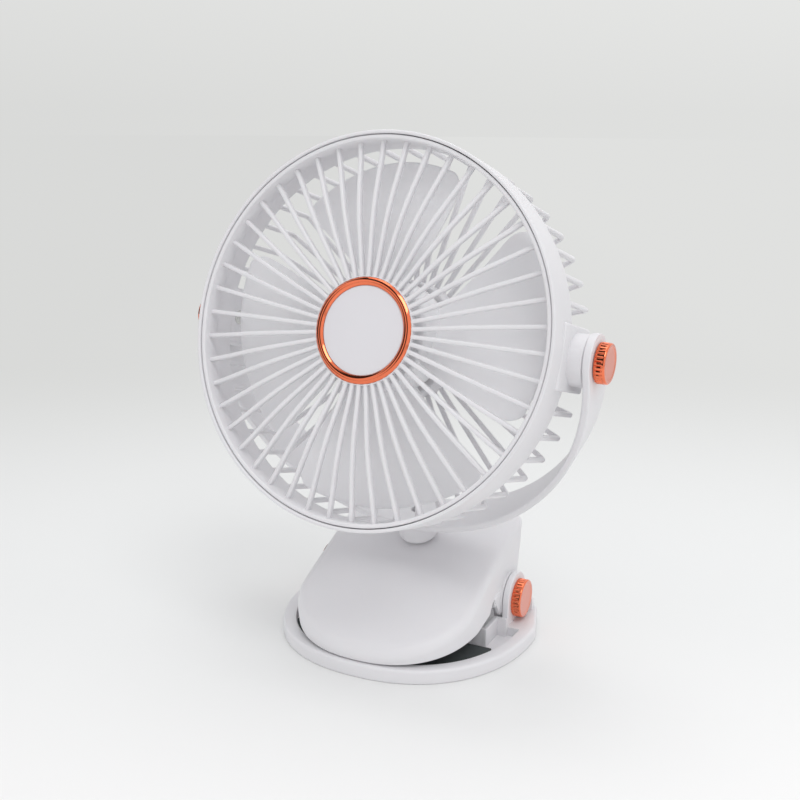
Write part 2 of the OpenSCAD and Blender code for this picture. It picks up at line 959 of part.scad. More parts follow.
module power_button() {
  flange = 0.8;
  flange_w = 0.9;
  edge = 0.5;
  color("white")
    on_back()
      translate([button_x, back_y, 0])
        rotate_extrude()
          polygon([
            [0, -button_in], [button_r + flange_w, -button_in],
            [button_r + flange_w, -button_in + flange - 0.1],
            [button_r, -button_in + flange - 0.1],
            [button_r, button_proud - edge], [button_r - edge, button_proud],
            [0, button_proud - 0.3]
          ]);
}

module swivel_washer() {
  color("dimgray")
    on_swivel()
      translate([0, 0, -seat_depth - washer_t])
        difference() {
          cylinder(h = washer_t, r = nut_r);
          translate([0, 0, -1])
            cylinder(h = washer_t + 2, r = stem_r + fit);
        }
}

// ---------------------------------------------------------------- yoke

module yoke() {
  color("white")
    on_swivel()
      difference() {
        union() {
          translate([0, 0, pivot_up - ring_drop])
            rotate([90, 0, 0])
              rotate([0, 0, 180])
                rotate_extrude(angle = 180)
                  translate([yoke_r, -strip_w / 2])
                    square([strip_t, strip_w]);
          for (side = [0, 1])
            mirror([side, 0, 0])
              along_x(yoke_r, yoke_out)
                translate([0, pivot_up]) {
                  circle(ear_round_r);
                  translate([-strip_w / 2, -ring_drop])
                    square([strip_w, ring_drop]);
                }
          rotate_extrude()
            polygon(concat(
              [[0, -stem_depth], [stem_r, -stem_depth], [stem_r, clear]],
              arc([collar_r - collar_edge_r, clear + collar_edge_r], collar_edge_r, 270, 360),
              [[collar_r, clear + collar_h + 1.2], [0, clear + collar_h + 1.2]]
            ));
        }
        translate([0, 0, -stem_depth - 1])
          cylinder(h = stem_depth + collar_h + 10, r = lead_bore_r);
        along_x(-yoke_out - 1, yoke_out + 1)
          translate([0, pivot_up])
            circle(tilt_pin_r + running);
        along_x(-yoke_r, yoke_r)
          translate([0, pivot_up])
            circle(boss_r + clear);
      }
}

module swivel_nut() {
  color("silver")
    on_swivel()
      translate([0, 0, -stem_depth + 0.4])
        difference() {
          cylinder(h = nut_t, r = nut_r, $fn = 6);
          translate([0, 0, -1])
            cylinder(h = nut_t + 2, r = stem_r + running);
        }
}

// ---------------------------------------------------------------- head

// Copies a bar all round the fan's axis
module around_axis() {
  for (i = [0:bars - 1])
    rotate(bar_turn + i * 360 / bars)
      children();
}

// Height of a front bar above the seam, rising from the rim and level towards the hub
spoke_line = [[hub_plate_r - 1, 0], [34, 0.3], [46, 0.5], [56, -0.7], [65, -2], [spoke_out, -3]];

module spoke() {
  low = [for (i = [len(spoke_line) - 1:-1:0]) spoke_line[i] - [0, spoke_d]];
  rotate([90, 0, 0])
    translate([0, 0, -spoke_w / 2])
      linear_extrude(spoke_w)
        polygon(concat(spoke_line, low));
}

module front_grille() {
  color("white")
    on_head()
      difference() {
        union() {
          rotate_extrude()
            polygon([
              [skirt_r - skirt_t, -skirt_d], [skirt_r, -skirt_d],
              [skirt_r, -0.3], [skirt_r - 0.3, 0], [skirt_r - skirt_t + 0.3, 0],
              [skirt_r - skirt_t, -0.3]
            ]);
          translate([0, 0, -hub_seat_d - hub_plate_t])
            cylinder(h = hub_seat_d + hub_plate_t, r = hub_plate_r);
          around_axis()
            spoke();
        }
        translate([0, 0, -hub_seat_d])
          cylinder(h = 5, r = ring_r + fit);
      }
}

module trim_ring() {
  bead = ring_w / 2;
  color("#d9744f")
    on_head()
      rotate_extrude()
        polygon(concat(
          [[ring_r - ring_w, -hub_seat_d], [ring_r, -hub_seat_d]],
          [for (i = [0:12])
            [ring_r - bead + bead * cos(i * 15), ring_proud * sin(i * 15)]]
        ));
}

module hub_cap() {
  color("white")
    on_head()
      rotate_extrude()
        polygon([
          [0, -hub_seat_d], [cap_r, -hub_seat_d], [cap_r, -0.2], [cap_r - 0.3, 0],
          [cap_r * 0.5, cap_proud * 0.8], [0, cap_proud]
        ]);
}

// One bent bar of the cage: back along the side, then in to the motor bay
module cage_bar() {
  out = cage_r;
  in = cage_r - cage_t;
  back = -cage_back_d;
  rotate([90, 0, 0])
    translate([0, 0, -cage_w / 2])
      linear_extrude(cage_w)
        polygon(concat(
          [[in, 1 - band_d], [out, 1 - band_d]],
          arc([out - cage_bend, back + cage_bend], cage_bend, 0, -90),
          [[bay_r - bay_t / 2, back], [bay_r - bay_t / 2, back + cage_t]],
          arc([out - cage_bend, back + cage_bend], cage_bend - cage_t, -90, 0)
        ));
}

// Centre height of the tilt axis, measured from the seam
module on_tilt_axis() {
  translate([0, 0, -seam_front])
    children();
}

// Places of the motor bay's screws, from its rear face forward
module on_bay_screws() {
  for (i = [0:bay_screws - 1])
    rotate(i * 360 / bay_screws + 60)
      translate([bay_screw_r, 0, -head_d])
        children();
}

module rear_housing() {
  ledge = skirt_d + fit;
  color("white")
    on_head()
      difference() {
        union() {
          rotate_extrude()
            polygon([
              [band_r - band_t, -band_d], [band_r, -band_d], [band_r, lip_d - 0.4],
              [band_r - 0.4, lip_d], [band_r - lip_t, lip_d], [band_r - lip_t, -ledge],
              [band_r - band_t, -ledge]
            ]);
          around_axis()
            cage_bar();
          rotate_extrude()
            polygon([
              [tube_r + fit, -bay_front_d], [bay_r, -bay_front_d], [bay_r, -head_d],
              [bay_r - bay_t, -head_d], [bay_r - bay_t, -bay_wall_d],
              [tube_r + 2.4, -bay_wall_d], [tube_r + 2.4, -tube_rear_d],
              [tube_r + fit, -tube_rear_d]
            ]);
          on_bay_screws()
            translate([0, 0, bay_cap_t + fit])
              cylinder(h = head_d - bay_wall_d - bay_cap_t, r = 2.2);
          for (side = [0, 1])
            mirror([side, 0, 0])
              on_tilt_axis() {
                along_x(band_r - band_t + 0.4, boss_end)
                  circle(boss_r);
                intersection() {
                  translate([band_r - band_t, -block_w / 2, seam_front - block_d])
                    cube([band_t + 2 * block_proud, block_w, block_d - skirt_d - 1]);
                  translate([0, 0, seam_front - block_d])
                    cylinder(h = block_d, r = band_r + block_proud);
                }
              }
        }
        for (side = [0, 1])
          mirror([side, 0, 0])
            on_tilt_axis() {
              along_x(band_r - band_t - 1, boss_end + 1)
                circle(tilt_pin_r);
              along_x(boss_end - tilt_washer_t, boss_end + 1)
                circle(tilt_washer_r + fit);
            }
        on_bay_screws()
          translate([0, 0, -1])
            cylinder(h = bay_screw_len + 2, r = screw_r + screw_bite);
        along_x(bay_r - bay_t - 1, bay_r + 2)
          translate([0, lead_z])
            circle(lead_r + fit);
      }
}

module tilt_pin_right() {
  color("silver")
    on_head()
      on_tilt_axis()
        along_x(band_r - band_t, knob_in + knob_len * 0.6)
          circle(tilt_pin_r);
}

module tilt_pin_left() {
  color("silver")
    on_head()
      on_tilt_axis()
        mirror([1, 0, 0])
          along_x(band_r - band_t, knob_in + knob_len * 0.6)
            circle(tilt_pin_r);
}

module tilt_knob_right() {
  on_head()
    on_tilt_axis()
      translate([knob_in, 0, 0])
        knob(knob_r, tilt_pin_r + fit / 2, knob_len * 0.6 + fit);
}

module tilt_knob_left() {
  on_head()
    on_tilt_axis()
      mirror([1, 0, 0])
        translate([knob_in, 0, 0])
          knob(knob_r, tilt_pin_r + fit / 2, knob_len * 0.6 + fit);
}

module tilt_washer() {
  color("dimgray")
    along_x(boss_end - tilt_washer_t, boss_end + boss_gap / 2)
      difference() {
        circle(tilt_washer_r);
        circle(tilt_pin_r + fit);
      }
}

module tilt_washer_right() {
  on_head()
    on_tilt_axis()
      tilt_washer();
}

module tilt_washer_left() {
  on_head()
    on_tilt_axis()
      mirror([1, 0, 0])
        tilt_washer();
}

// ---------------------------------------------------------------- motor, fixed side

// A ring about the fan's axis between two depths behind the seam
module ring_at(d_front, d_rear, r_in, r_out) {
  on_head()
    rotate_extrude()
      translate([r_in, -d_rear])
        square([r_out - r_in, d_rear - d_front]);
}

module bearing_tube() {
  shoulder = 0.6;
  front_seat = tube_front_d + bearing_w;
  rear_seat = tube_rear_d - bearing_w;
  bore = bearing_r + running;
  color("goldenrod")
    on_head()
      rotate_extrude()
        polygon([
          [bore, -tube_front_d], [tube_r, -tube_front_d], [tube_r, -tube_rear_d],
          [bore, -tube_rear_d], [bore, -rear_seat], [bore - shoulder, -rear_seat],
          [bore - shoulder, -front_seat], [bore, -front_seat]
        ]);
}

module ball_bearing(d_front) {
  race = 0.55;
  groove = 0.35;
  color("silver")
    on_head()
      rotate_extrude()
        polygon([
          [shaft_r + running, -d_front - bearing_w], [shaft_r + running, -d_front],
          [shaft_r + race, -d_front], [shaft_r + race, -d_front - groove],
          [bearing_r - race, -d_front - groove], [bearing_r - race, -d_front],
          [bearing_r, -d_front], [bearing_r, -d_front - bearing_w],
          [bearing_r - race, -d_front - bearing_w],
          [bearing_r - race, -d_front - bearing_w + groove],
          [shaft_r + race, -d_front - bearing_w + groove],
          [shaft_r + race, -d_front - bearing_w]
        ]);
}

module front_bearing() {
  ball_bearing(tube_front_d);
}

module rear_bearing() {
  ball_bearing(tube_rear_d - bearing_w);
}

module around_teeth() {
  for (i = [0:teeth - 1])
    rotate(i * 360 / teeth)
      children();
}

module stator_core() {
  shoe = 300 / teeth;
  color("slategray")
    on_head()
      translate([0, 0, -stator_front_d - stator_d]) {
        difference() {
          union() {
            cylinder(h = stator_d, r = core_r);
            around_teeth()
              translate([core_r - 1, -tooth_w / 2, 0])
                cube([stator_r - core_r - 0.2, tooth_w, stator_d]);
          }
          translate([0, 0, -1])
            cylinder(h = stator_d + 2, r = tube_r + running);
        }
        around_teeth()
          rotate(-shoe / 2)
            rotate_extrude(angle = shoe)
              translate([stator_r - tooth_shoe_t, 0])
                square([tooth_shoe_t, stator_d]);
      }
}

module stator_windings() {
  half_w = tooth_w / 2 + coil_t * 0.8;
  reach = sqrt(pow(stator_r - tooth_shoe_t - fit, 2) - half_w * half_w);
  span = reach - core_r - fit;
  color("peru")
    on_head()
      translate([0, 0, -stator_front_d - stator_d])
        around_teeth()
          translate([core_r + fit + span * 0.25, 0, 0])
            difference() {
              translate([0, -half_w, -coil_t * 0.7])
                cube([span * 0.75, 2 * half_w, stator_d + coil_t * 1.4]);
              translate([-1, -tooth_w / 2 - 0.05, -0.05])
                cube([span + 2, tooth_w + 0.1, stator_d + 0.1]);
            }
}

module drive_board() {
  color("darkgreen")
    ring_at(drive_board_d, drive_board_d + drive_board_t, 2.4, bay_r - bay_t - 5.2);
}

// Two-core lead from the motor bay to the right-hand pivot, laid along one bar
module motor_lead() {
  color("dimgray")
    on_head()
      wire([
        [bay_r - bay_t - 4.5, 0, lead_z],
        [lead_x - 1.5, 0, lead_z],
        [lead_x, 0, lead_z + 1.5],
        [lead_x, 0, -seam_front]
      ], lead_r);
}

module bay_cap() {
  color("whitesmoke")
    on_head()
      difference() {
        translate([0, 0, -head_d])
          cylinder(h = bay_cap_t, r = bay_r - bay_t - fit);
        on_bay_screws()
          translate([0, 0, -1]) {
            cylinder(h = bay_cap_t + 2, r = screw_r + running);
            cylinder(h = 1 + screw_head_t, r = screw_head_r + fit);
          }
      }
}

module bay_screws() {
  color("silver")
    on_head()
      on_bay_screws()
        screw(bay_screw_len);
}

// ---------------------------------------------------------------- rotor

// How far a blade's root is sunk into the hub, and the lead of its tip in degrees
blade_sunk = 0.6;
blade_lead = 6;
// A blade's share of its angle at the root, and how that grows and falls off to the tip
blade_spread = [0.86, 0.3, -0.16];
// A blade's share of its depth near the middle, and how that falls off to its edges
blade_camber = [0.92, -0.12];
// How much thinner a blade is along its edges
blade_thinning = 0.55;

// A point of a blade: u runs from root to tip, v from the leading to the trailing edge
function blade_r(u) = hub_r - blade_sunk + (tip_r - hub_r + blade_sunk) * u;
function blade_turn_at(u, v) = blade_half * (blade_spread * [1, u, u * u]) * v + blade_lead * u;
function blade_depth(u, v) = (blade_front_d + blade_rear_d) / 2
  + (blade_rear_d - blade_front_d) / 2 * v * (blade_camber * [1, v * v]);
function blade_half_t(u, v) = (1 - blade_thinning * pow(abs(v), 6)) / 2
  * (blade_root_t + (blade_tip_t - blade_root_t) * u);
function blade_point(u, v, face) =
  let (r = blade_r(u), t = blade_turn_at(u, v))
    [r * cos(t), r * sin(t), -blade_depth(u, v) + face * blade_half_t(u, v)];

module blade() {
  nu = 9;
  nv = 12;
  row = nv + 1;
  sheet = row * (nu + 1);
  corners = [
    for (face = [1, -1], i = [0:nu], j = [0:nv])
      blade_point(i / nu, 2 * j / nv - 1, face)
  ];
  upper = [for (i = [0:nu - 1], j = [0:nv - 1]) let (a = i * row + j)
    each [[a, a + row, a + row + 1], [a, a + row + 1, a + 1]]];
  lower = [for (f = upper) [f[0] + sheet, f[2] + sheet, f[1] + sheet]];
  border = concat(
    [for (j = [0:nv - 1]) j],
    [for (i = [0:nu - 1]) i * row + nv],
    [for (j = [nv:-1:1]) nu * row + j],
    [for (i = [nu:-1:1]) i * row]
  );
  count = len(border);
  sides = [for (k = [0:count - 1]) let (a = border[k], b = border[(k + 1) % count])
    each [[a, b, b + sheet], [a, b + sheet, a + sheet]]];
  polyhedron(corners, [for (f = concat(upper, lower, sides)) [f[0], f[2], f[1]]]);
}

module impeller() {
  edge = 1.2;
  boss = 3.6;
  color("white")
    on_head() {
      rotate_extrude()
        polygon([
          [shaft_r, -hub_front_d], [hub_r - edge, -hub_front_d],
          [hub_r, -hub_front_d - edge], [hub_r, -hub_rear_d],
          [hub_r - hub_t, -hub_rear_d], [hub_r - hub_t, -hub_front_d - hub_t],
          [boss, -hub_front_d - hub_t], [boss, -can_front_d], [shaft_r, -can_front_d]
        ]);
      for (i = [0:blades - 1])
        rotate(blade_turn + i * 360 / blades)
          blade();
    }
}

module rotor_can() {
  color("dimgray")
    on_head()
      rotate_extrude()
        polygon([
          [shaft_r + running, -can_front_d], [can_r, -can_front_d], [can_r, -can_rear_d],
          [can_r - can_t, -can_rear_d], [can_r - can_t, -can_front_d - can_t],
          [shaft_r + running, -can_front_d - can_t]
        ]);
}

module magnet_ring() {
  color("darkslategray")
    ring_at(magnet_front_d, can_rear_d - 0.5, magnet_r - magnet_t, magnet_r);
}

module motor_shaft() {
  color("silver")
    ring_at(hub_front_d + 0.6, tube_rear_d + shaft_tail, 0, shaft_r);
}

lower_jaw();
lower_pad();
base_grip();
hinge_pin();
hinge_knob_left();
hinge_knob_right();
torsion_spring();
clip_shell();
clip_cover();
cover_screws();
jaw_pad();
battery_cell();
control_board();
key_switch();
charging_port();
status_light();
power_button();
swivel_washer();
yoke();
swivel_nut();
front_grille();
trim_ring();
hub_cap();
rear_housing();
tilt_pin_left();
tilt_pin_right();
tilt_knob_left();
tilt_knob_right();
tilt_washer_left();
tilt_washer_right();
bearing_tube();
front_bearing();
rear_bearing();
stator_core();
stator_windings();
drive_board();
motor_lead();
bay_cap();
bay_screws();
impeller();
rotor_can();
magnet_ring();
motor_shaft();
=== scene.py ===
"""Dresses the clip-on fan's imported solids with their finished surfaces, materials and stage."""

import math
from types import SimpleNamespace

import bpy
import numpy as np
from mathutils import Matrix, Vector


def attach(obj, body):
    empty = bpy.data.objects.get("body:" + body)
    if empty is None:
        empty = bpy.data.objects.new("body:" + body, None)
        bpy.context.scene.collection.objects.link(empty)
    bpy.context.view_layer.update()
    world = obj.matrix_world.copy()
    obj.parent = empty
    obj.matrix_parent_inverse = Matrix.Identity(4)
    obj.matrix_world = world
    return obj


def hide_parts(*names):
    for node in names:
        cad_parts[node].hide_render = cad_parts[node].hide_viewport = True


bl_info = {
    "name": "Clip Fan Finish",
    "version": (1, 0, 0),
    "blender": (4, 5, 0),
    "location": "3D View > Sidebar > Clip Fan",
    "description": "Builds the finished surfaces of a rechargeable clip-on fan",
    "category": "Object",
}

MM = 0.001
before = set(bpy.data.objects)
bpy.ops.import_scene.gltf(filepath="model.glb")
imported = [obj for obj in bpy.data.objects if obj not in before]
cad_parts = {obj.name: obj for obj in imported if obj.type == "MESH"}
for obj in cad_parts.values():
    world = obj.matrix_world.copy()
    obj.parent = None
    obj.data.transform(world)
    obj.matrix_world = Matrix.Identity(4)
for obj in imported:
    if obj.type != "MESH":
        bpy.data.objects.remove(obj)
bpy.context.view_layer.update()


# ------------------------------------------------------------------ sizes and colours


def length(name, millimetres, description):
    """A length property; the file stores metres."""
    return bpy.props.FloatProperty(
        name=name,
        description=description,
        default=millimetres * MM,
        min=0.0,
        unit="LENGTH",
        precision=5,
    )


def angle(name, degrees, description):
    """An angle property; the file stores radians."""
    return bpy.props.FloatProperty(
        name=name,
        description=description,
        default=math.radians(degrees),
        subtype="ANGLE",
    )


def count(name, number, description):
    return bpy.props.IntProperty(
        name=name, description=description, default=number, min=1
    )


def colour(name, rgb, description):
    """A colour property; rgb is linear."""
    return bpy.props.FloatVectorProperty(
        name=name,
        description=description,
        default=rgb,
        size=3,
        min=0.0,
        max=1.0,
        subtype="COLOR",
    )


class ClipSizes(bpy.types.PropertyGroup):
    """Sizes of the plate, the hinge and the clip's shell"""

    plate_half_w: length("Plate half width", 56.3, "Half of the plate's width")
    plate_front: length("Plate front", 64.5, "Reach in front of the origin")
    plate_rear: length("Plate rear", 24.0, "Reach behind the origin")
    plate_flat: length("Straight sides", 2.0, "Straight sides at the widest place")
    plate_taper: angle("Side taper", 16.5, "Taper of the sides behind that")
    plate_corner: length("Plate corners", 8.0, "Radius of the plate's rear corners")
    plate_wide: length("Widest place", 2.8, "Widest place, in front of the origin")
    floor_t: length("Floor", 2.0, "Thickness of the floor inside the rim")
    rim_h: length("Rim height", 6.0, "Height of the rim above the table")
    rim_w: length("Rim width", 5.8, "Width of the rim")
    wall_front: length("Wall place", 20.6, "Front of the cross wall, before the origin")
    wall_h: length("Wall height", 10.2, "Height of the cross wall and the side walls")
    wall_t: length("Wall thickness", 2.0, "Thickness of the cross wall")
    pad_t: length("Pad thickness", 1.1, "Thickness of the rubber pad")
    grip_t: length("Grip thickness", 0.8, "Thickness of the anti-slip sheet")
    hinge_y: length("Hinge place", 5.2, "Hinge axis behind the origin")
    hinge_z: length("Hinge height", 15.6, "Height of the hinge axis")
    ear_in: length("Ear inner face", 42.5, "Inner face of each ear")
    ear_t: length("Ear thickness", 2.8, "Thickness of each ear")
    ear_r: length("Ear radius", 11.3, "Radius of the ear's round top")
    grip_knob_r: length("Hinge knob radius", 8.4, "Radius of a knob on the hinge pin")
    pin_r: length("Pin radius", 2.5, "Radius of the hinge pin")
    half_w: length("Shell half width", 41.6, "Half of the shell's width")
    shell_len: length("Shell length", 81.8, "Length along the underside")
    nose_len: length("Nose length", 41.8, "Length of the rounded nose")
    nose_r: length("Nose radius", 4.5, "Radius over the nose")
    top_r: length("Side radius", 3.2, "Radius along both sides of the top")
    rear_r: length("Rear radius", 3.5, "Radius of the rear corners")
    back_top_r: length("Back edge radius", 2.3, "Radius over the top rear edge")
    draft: length("Side draft", 1.6, "How much narrower the top is, each side")
    shell_t: length("Shell wall", 1.8, "Wall of the shell")
    under_slope: angle("Underside slope", 11.5, "Slope of the shell's underside")
    top_slope: angle("Top slope", 22.4, "Slope of the front part of the top")
    back_lean: angle("Back lean", 34.0, "How far the back leans away")
    back_y: length("Back row", 11.2, "Height of the button, port and light")
    button_r: length("Button radius", 4.8, "Radius of the power button")
    button_proud: length("Button height", 1.2, "How far the button stands out")
    port_x: length("Port place", 16.0, "Sideways place of the port")
    port_w: length("Port width", 8.9, "Width of the port's opening")
    port_h: length("Port height", 3.2, "Height of the port's opening")
    light_x: length("Light place", 13.0, "Sideways place of the light, on the left")
    light_r: length("Light radius", 1.5, "Radius of the status light")
    knob_r: length("Tilt knob radius", 7.8, "Radius of a knob on a tilt pin")
    knob_len: length("Knob length", 4.3, "Length of a fluted knob")
    flutes: count("Flutes", 28, "Number of flutes around a knob")


class YokeSizes(bpy.types.PropertyGroup):
    """Sizes of the swivel and the half-ring yoke"""

    seat_z: length("Seat height", 38.8, "Height of the yoke's seat")
    lean: angle("Lean", 17.3, "Forward lean of the swivel axis")
    turn: angle("Turn", -2.5, "Turn of the yoke on the clip")
    pivot_up: length("Pivot height", 100.5, "From the seat to the tilt axis")
    stem_r: length("Stem radius", 4.5, "Radius of the swivel stem")
    stem_down: length("Stem depth", 7.85, "Reach of the stem below the seat")
    lead_r: length("Lead bore", 2.0, "Radius of the bore for the leads")
    collar_r: length("Collar radius", 8.8, "Radius of the collar")
    collar_edge: length("Collar edge", 3.0, "Radius of the collar's lower edge")
    strip_w: length("Strip width", 21.6, "Width of the yoke's strip")
    strip_t: length("Strip thickness", 2.9, "Thickness of the yoke's strip")
    ring_r: length("Ring radius", 83.8, "Inner radius of the half ring")
    ring_drop: length("Ring drop", 2.5, "Ring's centre below the tilt axis")
    clear: length("Clearance", 0.3, "Gap between moving pieces")


class HeadSizes(bpy.types.PropertyGroup):
    """Sizes of the fan's head"""

    tilt: angle("Tilt", 15.5, "Upward tilt at rest")
    seam_front: length("Seam", 24.4, "From the tilt axis forward to the seam")
    band_r: length("Band radius", 77.5, "Outer radius of the housing band")
    band_d: length("Band depth", 19.0, "Depth of the band behind the seam")
    band_t: length("Band wall", 2.9, "Wall of the band")
    lip_d: length("Lip", 0.6, "How far the lip stands in front of the seam")
    lip_t: length("Lip wall", 1.4, "Wall of the lip beside the grille")
    head_d: length("Head depth", 44.2, "Depth of the head behind the seam")
    bars: count("Bars", 46, "Number of bars, in front and behind")
    bar_turn: angle("Bar turn", -0.25, "Turn of the bars about the axis")
    spoke_w: length("Front bar width", 1.7, "Width of a front bar")
    spoke_d: length("Front bar depth", 2.6, "Depth of a front bar")
    cage_w: length("Rear bar width", 1.9, "Width of a rear bar")
    cage_t: length("Rear bar depth", 2.1, "Depth of a rear bar")
    cage_bend: length("Rear bar bend", 3.0, "Radius of the bend of a rear bar")
    skirt_d: length("Skirt depth", 8.0, "Depth of the grille's skirt")
    skirt_t: length("Skirt wall", 1.7, "Wall of the grille's skirt")
    boss_r: length("Boss radius", 10.0, "Radius of a pivot boss")
    boss_end: length("Boss end", 83.5, "Outer end of a pivot boss")
    block_w: length("Block width", 25.0, "Width of the block under a boss")
    block_d: length("Block depth", 38.0, "Depth of the block's rear edge")
    pin_r: length("Tilt pin", 3.0, "Radius of the tilt pins")
    ring_r: length("Trim radius", 20.7, "Outer radius of the trim ring")
    ring_w: length("Trim width", 3.2, "Width of the trim ring")
    ring_proud: length("Trim height", 0.8, "How far the trim ring stands out")
    cap_proud: length("Cap crown", 0.3, "Crown of the hub cap")
    tip_r: length("Tip radius", 69.0, "Radius at the blade tips")
    hub_r: length("Hub radius", 22.5, "Outer radius of the impeller's hub")
    hub_front: length("Hub front", 9.0, "Depth of the hub's front face")
    hub_rear: length("Hub rear", 29.5, "Depth of the hub's rear edge")
    blades: count("Blades", 4, "Number of blades")
    blade_half: angle("Blade half angle", 35.0, "Half of a blade's angle")
    blade_turn: angle("Blade turn", 5.0, "Turn of the first blade")
    bay_r: length("Bay radius", 24.5, "Radius of the motor bay")
    bay_t: length("Bay wall", 1.8, "Wall of the motor bay")
    bay_front: length("Bay front", 33.0, "Depth of the bay's front wall")


class Finishes(bpy.types.PropertyGroup):
    """Colours of the fan's finishes"""

    white: colour("White plastic", (0.775, 0.765, 0.785), "Moulded white plastic")
    cap: colour("Cap", (0.75, 0.735, 0.765), "Smooth cap of the hub")
    # The blades' colour is whiter than the moulded white plastic: painted light that offsets the
    # shade inside the cage.
    blade: colour("Blades", (0.90, 0.895, 0.91), "White of the blades")
    inner: colour("Inner white", (0.62, 0.62, 0.64), "Plastic of the inner pieces")
    rose: colour("Rose metal", (0.88, 0.21, 0.10), "Metallised rose trim")
    # Painted highlight: the knob's end face gets a paler colour than the rose metal; its satin
    # roughness is set apart from this colour.
    rose_end: colour("Knob end", (0.82, 0.38, 0.31), "Satin end face of a knob")
    rubber: colour("Rubber", (0.062, 0.071, 0.072), "Dark grey rubber")
    steel: colour("Steel", (0.58, 0.58, 0.57), "Bare and plated steel")
    board: colour("Board", (0.02, 0.13, 0.06), "Green solder mask")
    copper: colour("Copper", (0.80, 0.33, 0.16), "Enamelled copper wire")
    brass: colour("Brass", (0.78, 0.57, 0.25), "Turned brass")


class StageLook(bpy.types.PropertyGroup):
    """Camera, floor and light"""

    azimuth: angle("Azimuth", 25.35, "Direction of the camera")
    elevation: angle("Elevation", 14.74, "Height angle of the camera")
    roll: angle("Roll", 0.40, "Roll of the camera")
    distance: length("Distance", 447.9, "From the camera to the aim")
    offset_x: length("Aim offset right", 3.12, "Aim to the right of the pivot")
    offset_y: length("Aim offset down", 24.60, "Aim below the pivot")
    focal: bpy.props.FloatProperty(
        name="Focal length",
        description="Focal length for a 36 mm sensor",
        default=49.85,
        unit="CAMERA",
    )
    # Painted light falloff: the floor is painted pale in front and darker behind, and the backdrop
    # paler higher up.
    floor_near: colour("Floor, front", (0.89, 0.885, 0.88), "Floor in front of the fan")
    floor_mid: colour("Floor, middle", (0.81, 0.815, 0.81), "Floor under the fan")
    floor_far: colour("Floor, rear", (0.72, 0.725, 0.715), "Floor behind the fan")
    backdrop: colour("Backdrop", (0.72, 0.725, 0.715), "Backdrop at the floor's end")
    backdrop_high: colour("Backdrop, high", (0.775, 0.78, 0.77), "Backdrop higher up")
    fill: bpy.props.FloatProperty(
        name="Fill", description="Strength of the even light", default=0.86, min=0.0
    )


def values(group):
    """A group's lengths in millimetres and its angles in degrees."""
    found = SimpleNamespace()
    for name in type(group).__annotations__:
        kind = group.bl_rna.properties[name]
        value = getattr(group, name)
        if kind.type == "FLOAT" and kind.is_array:
            value = tuple(value)
        elif kind.type == "FLOAT" and kind.unit == "LENGTH":
            value = value / MM
        elif kind.type == "FLOAT" and kind.subtype == "ANGLE":
            value = math.degrees(value)
        setattr(found, name, value)
    return found


def all_sizes():
    scene = bpy.context.scene
    return values(scene.fan_clip), values(scene.fan_yoke), values(scene.fan_head)


# ------------------------------------------------------------------ places


def about_x(degrees):
    c, s = math.cos(math.radians(degrees)), math.sin(math.radians(degrees))
    return np.array([[1, 0, 0], [0, c, -s], [0, s, c]])


def about_z(degrees):
    c, s = math.cos(math.radians(degrees)), math.sin(math.radians(degrees))
    return np.array([[c, -s, 0], [s, c, 0], [0, 0, 1]])


ACROSS = np.array([[0.0, 0, 1], [1, 0, 0], [0, 1, 0]])


class Place:
    """A local frame in millimetres: a turn, then a move."""

    def __init__(self, turn=None, move=(0, 0, 0)):
        self.turn = np.eye(3) if turn is None else turn
        self.move = np.array(move, float)

    def then(self, turn=None, move=(0, 0, 0)):
        turn = np.eye(3) if turn is None else turn
        return Place(self.turn @ turn, self.move + self.turn @ np.array(move, float))

    def put(self, points):
        return points @ self.turn.T + self.move


def clip_place(clip):
    """The shell's frame: underside z = 0, nose at y = 0."""
    nose_y = -(clip.plate_front - 1.9)
    return Place(about_x(clip.under_slope), (0, nose_y, clip.rim_h + 0.4))


def back_place(clip):
    """The shell's back face: x right, y up the face, z outward."""
    turn = about_z(180) @ about_x(90 + clip.back_lean) @ np.diag([-1, 1, 1])
    return clip_place(clip).then(move=(0, clip.shell_len, 0)).then(turn)


def swivel_place(yoke):
    return Place(about_x(yoke.lean) @ about_z(yoke.turn), (0, 0, yoke.seat_z))


def head_place(yoke, head):
    """The fan: x along the tilt axis, y up, z forward from the seam."""
    pivot = swivel_place(yoke).then(move=(0, 0, yoke.pivot_up))
    return pivot.then(about_x(90 - yoke.lean - head.tilt)).then(
        move=(0, 0, head.seam_front)
    )


def hinge_place(clip, side):
    """The hinge axis as z, outward on the given side."""
    turn = ACROSS.copy()
    turn[0, 2] = side
    return Place(turn, (0, clip.hinge_y, clip.hinge_z))


def tilt_place(yoke, head, side):
    """The tilt axis as z, outward on the given side."""
    turn = ACROSS.copy()
    turn[0, 2] = side
    return head_place(yoke, head).then(turn, (0, 0, -head.seam_front))


# ------------------------------------------------------------------ surfaces


def grid_faces(rows, cols, wrap_rows, wrap_cols):
    """Quads between neighbouring points of a grid, closed where it wraps."""
    i = np.arange(rows if wrap_rows else rows - 1)[:, None]
    j = np.arange(cols if wrap_cols else cols - 1)[None, :]
    up, right = (i + 1) % rows, (j + 1) % cols
    quads = [i * cols + j, i * cols + right, up * cols + right, up * cols + j]
    return np.stack([np.broadcast_to(q, (i.size, j.size)) for q in quads], -1).reshape(-1, 4)


def skin(points, wrap_rows=False, wrap_cols=True):
    """A closed skin from a grid: equal points merge into one, so poles and seams close,
    and the faces are turned so that the enclosed volume is positive."""
    rows, cols = points.shape[:2]
    quads = grid_faces(rows, cols, wrap_rows, wrap_cols)
    flat = points.reshape(-1, 3)
    _, first, same = np.unique(
        np.round(flat, 4), axis=0, return_index=True, return_inverse=True
    )
    spots, quads = flat[first], same.ravel()[quads]
    a, b, c, d = (spots[quads[:, k]] for k in range(4))
    volume = np.einsum("ij,ij->", a, np.cross(b, c)) + np.einsum("ij,ij->", a, np.cross(c, d))
    if volume < 0:
        quads = quads[:, ::-1]
    return spots, quads


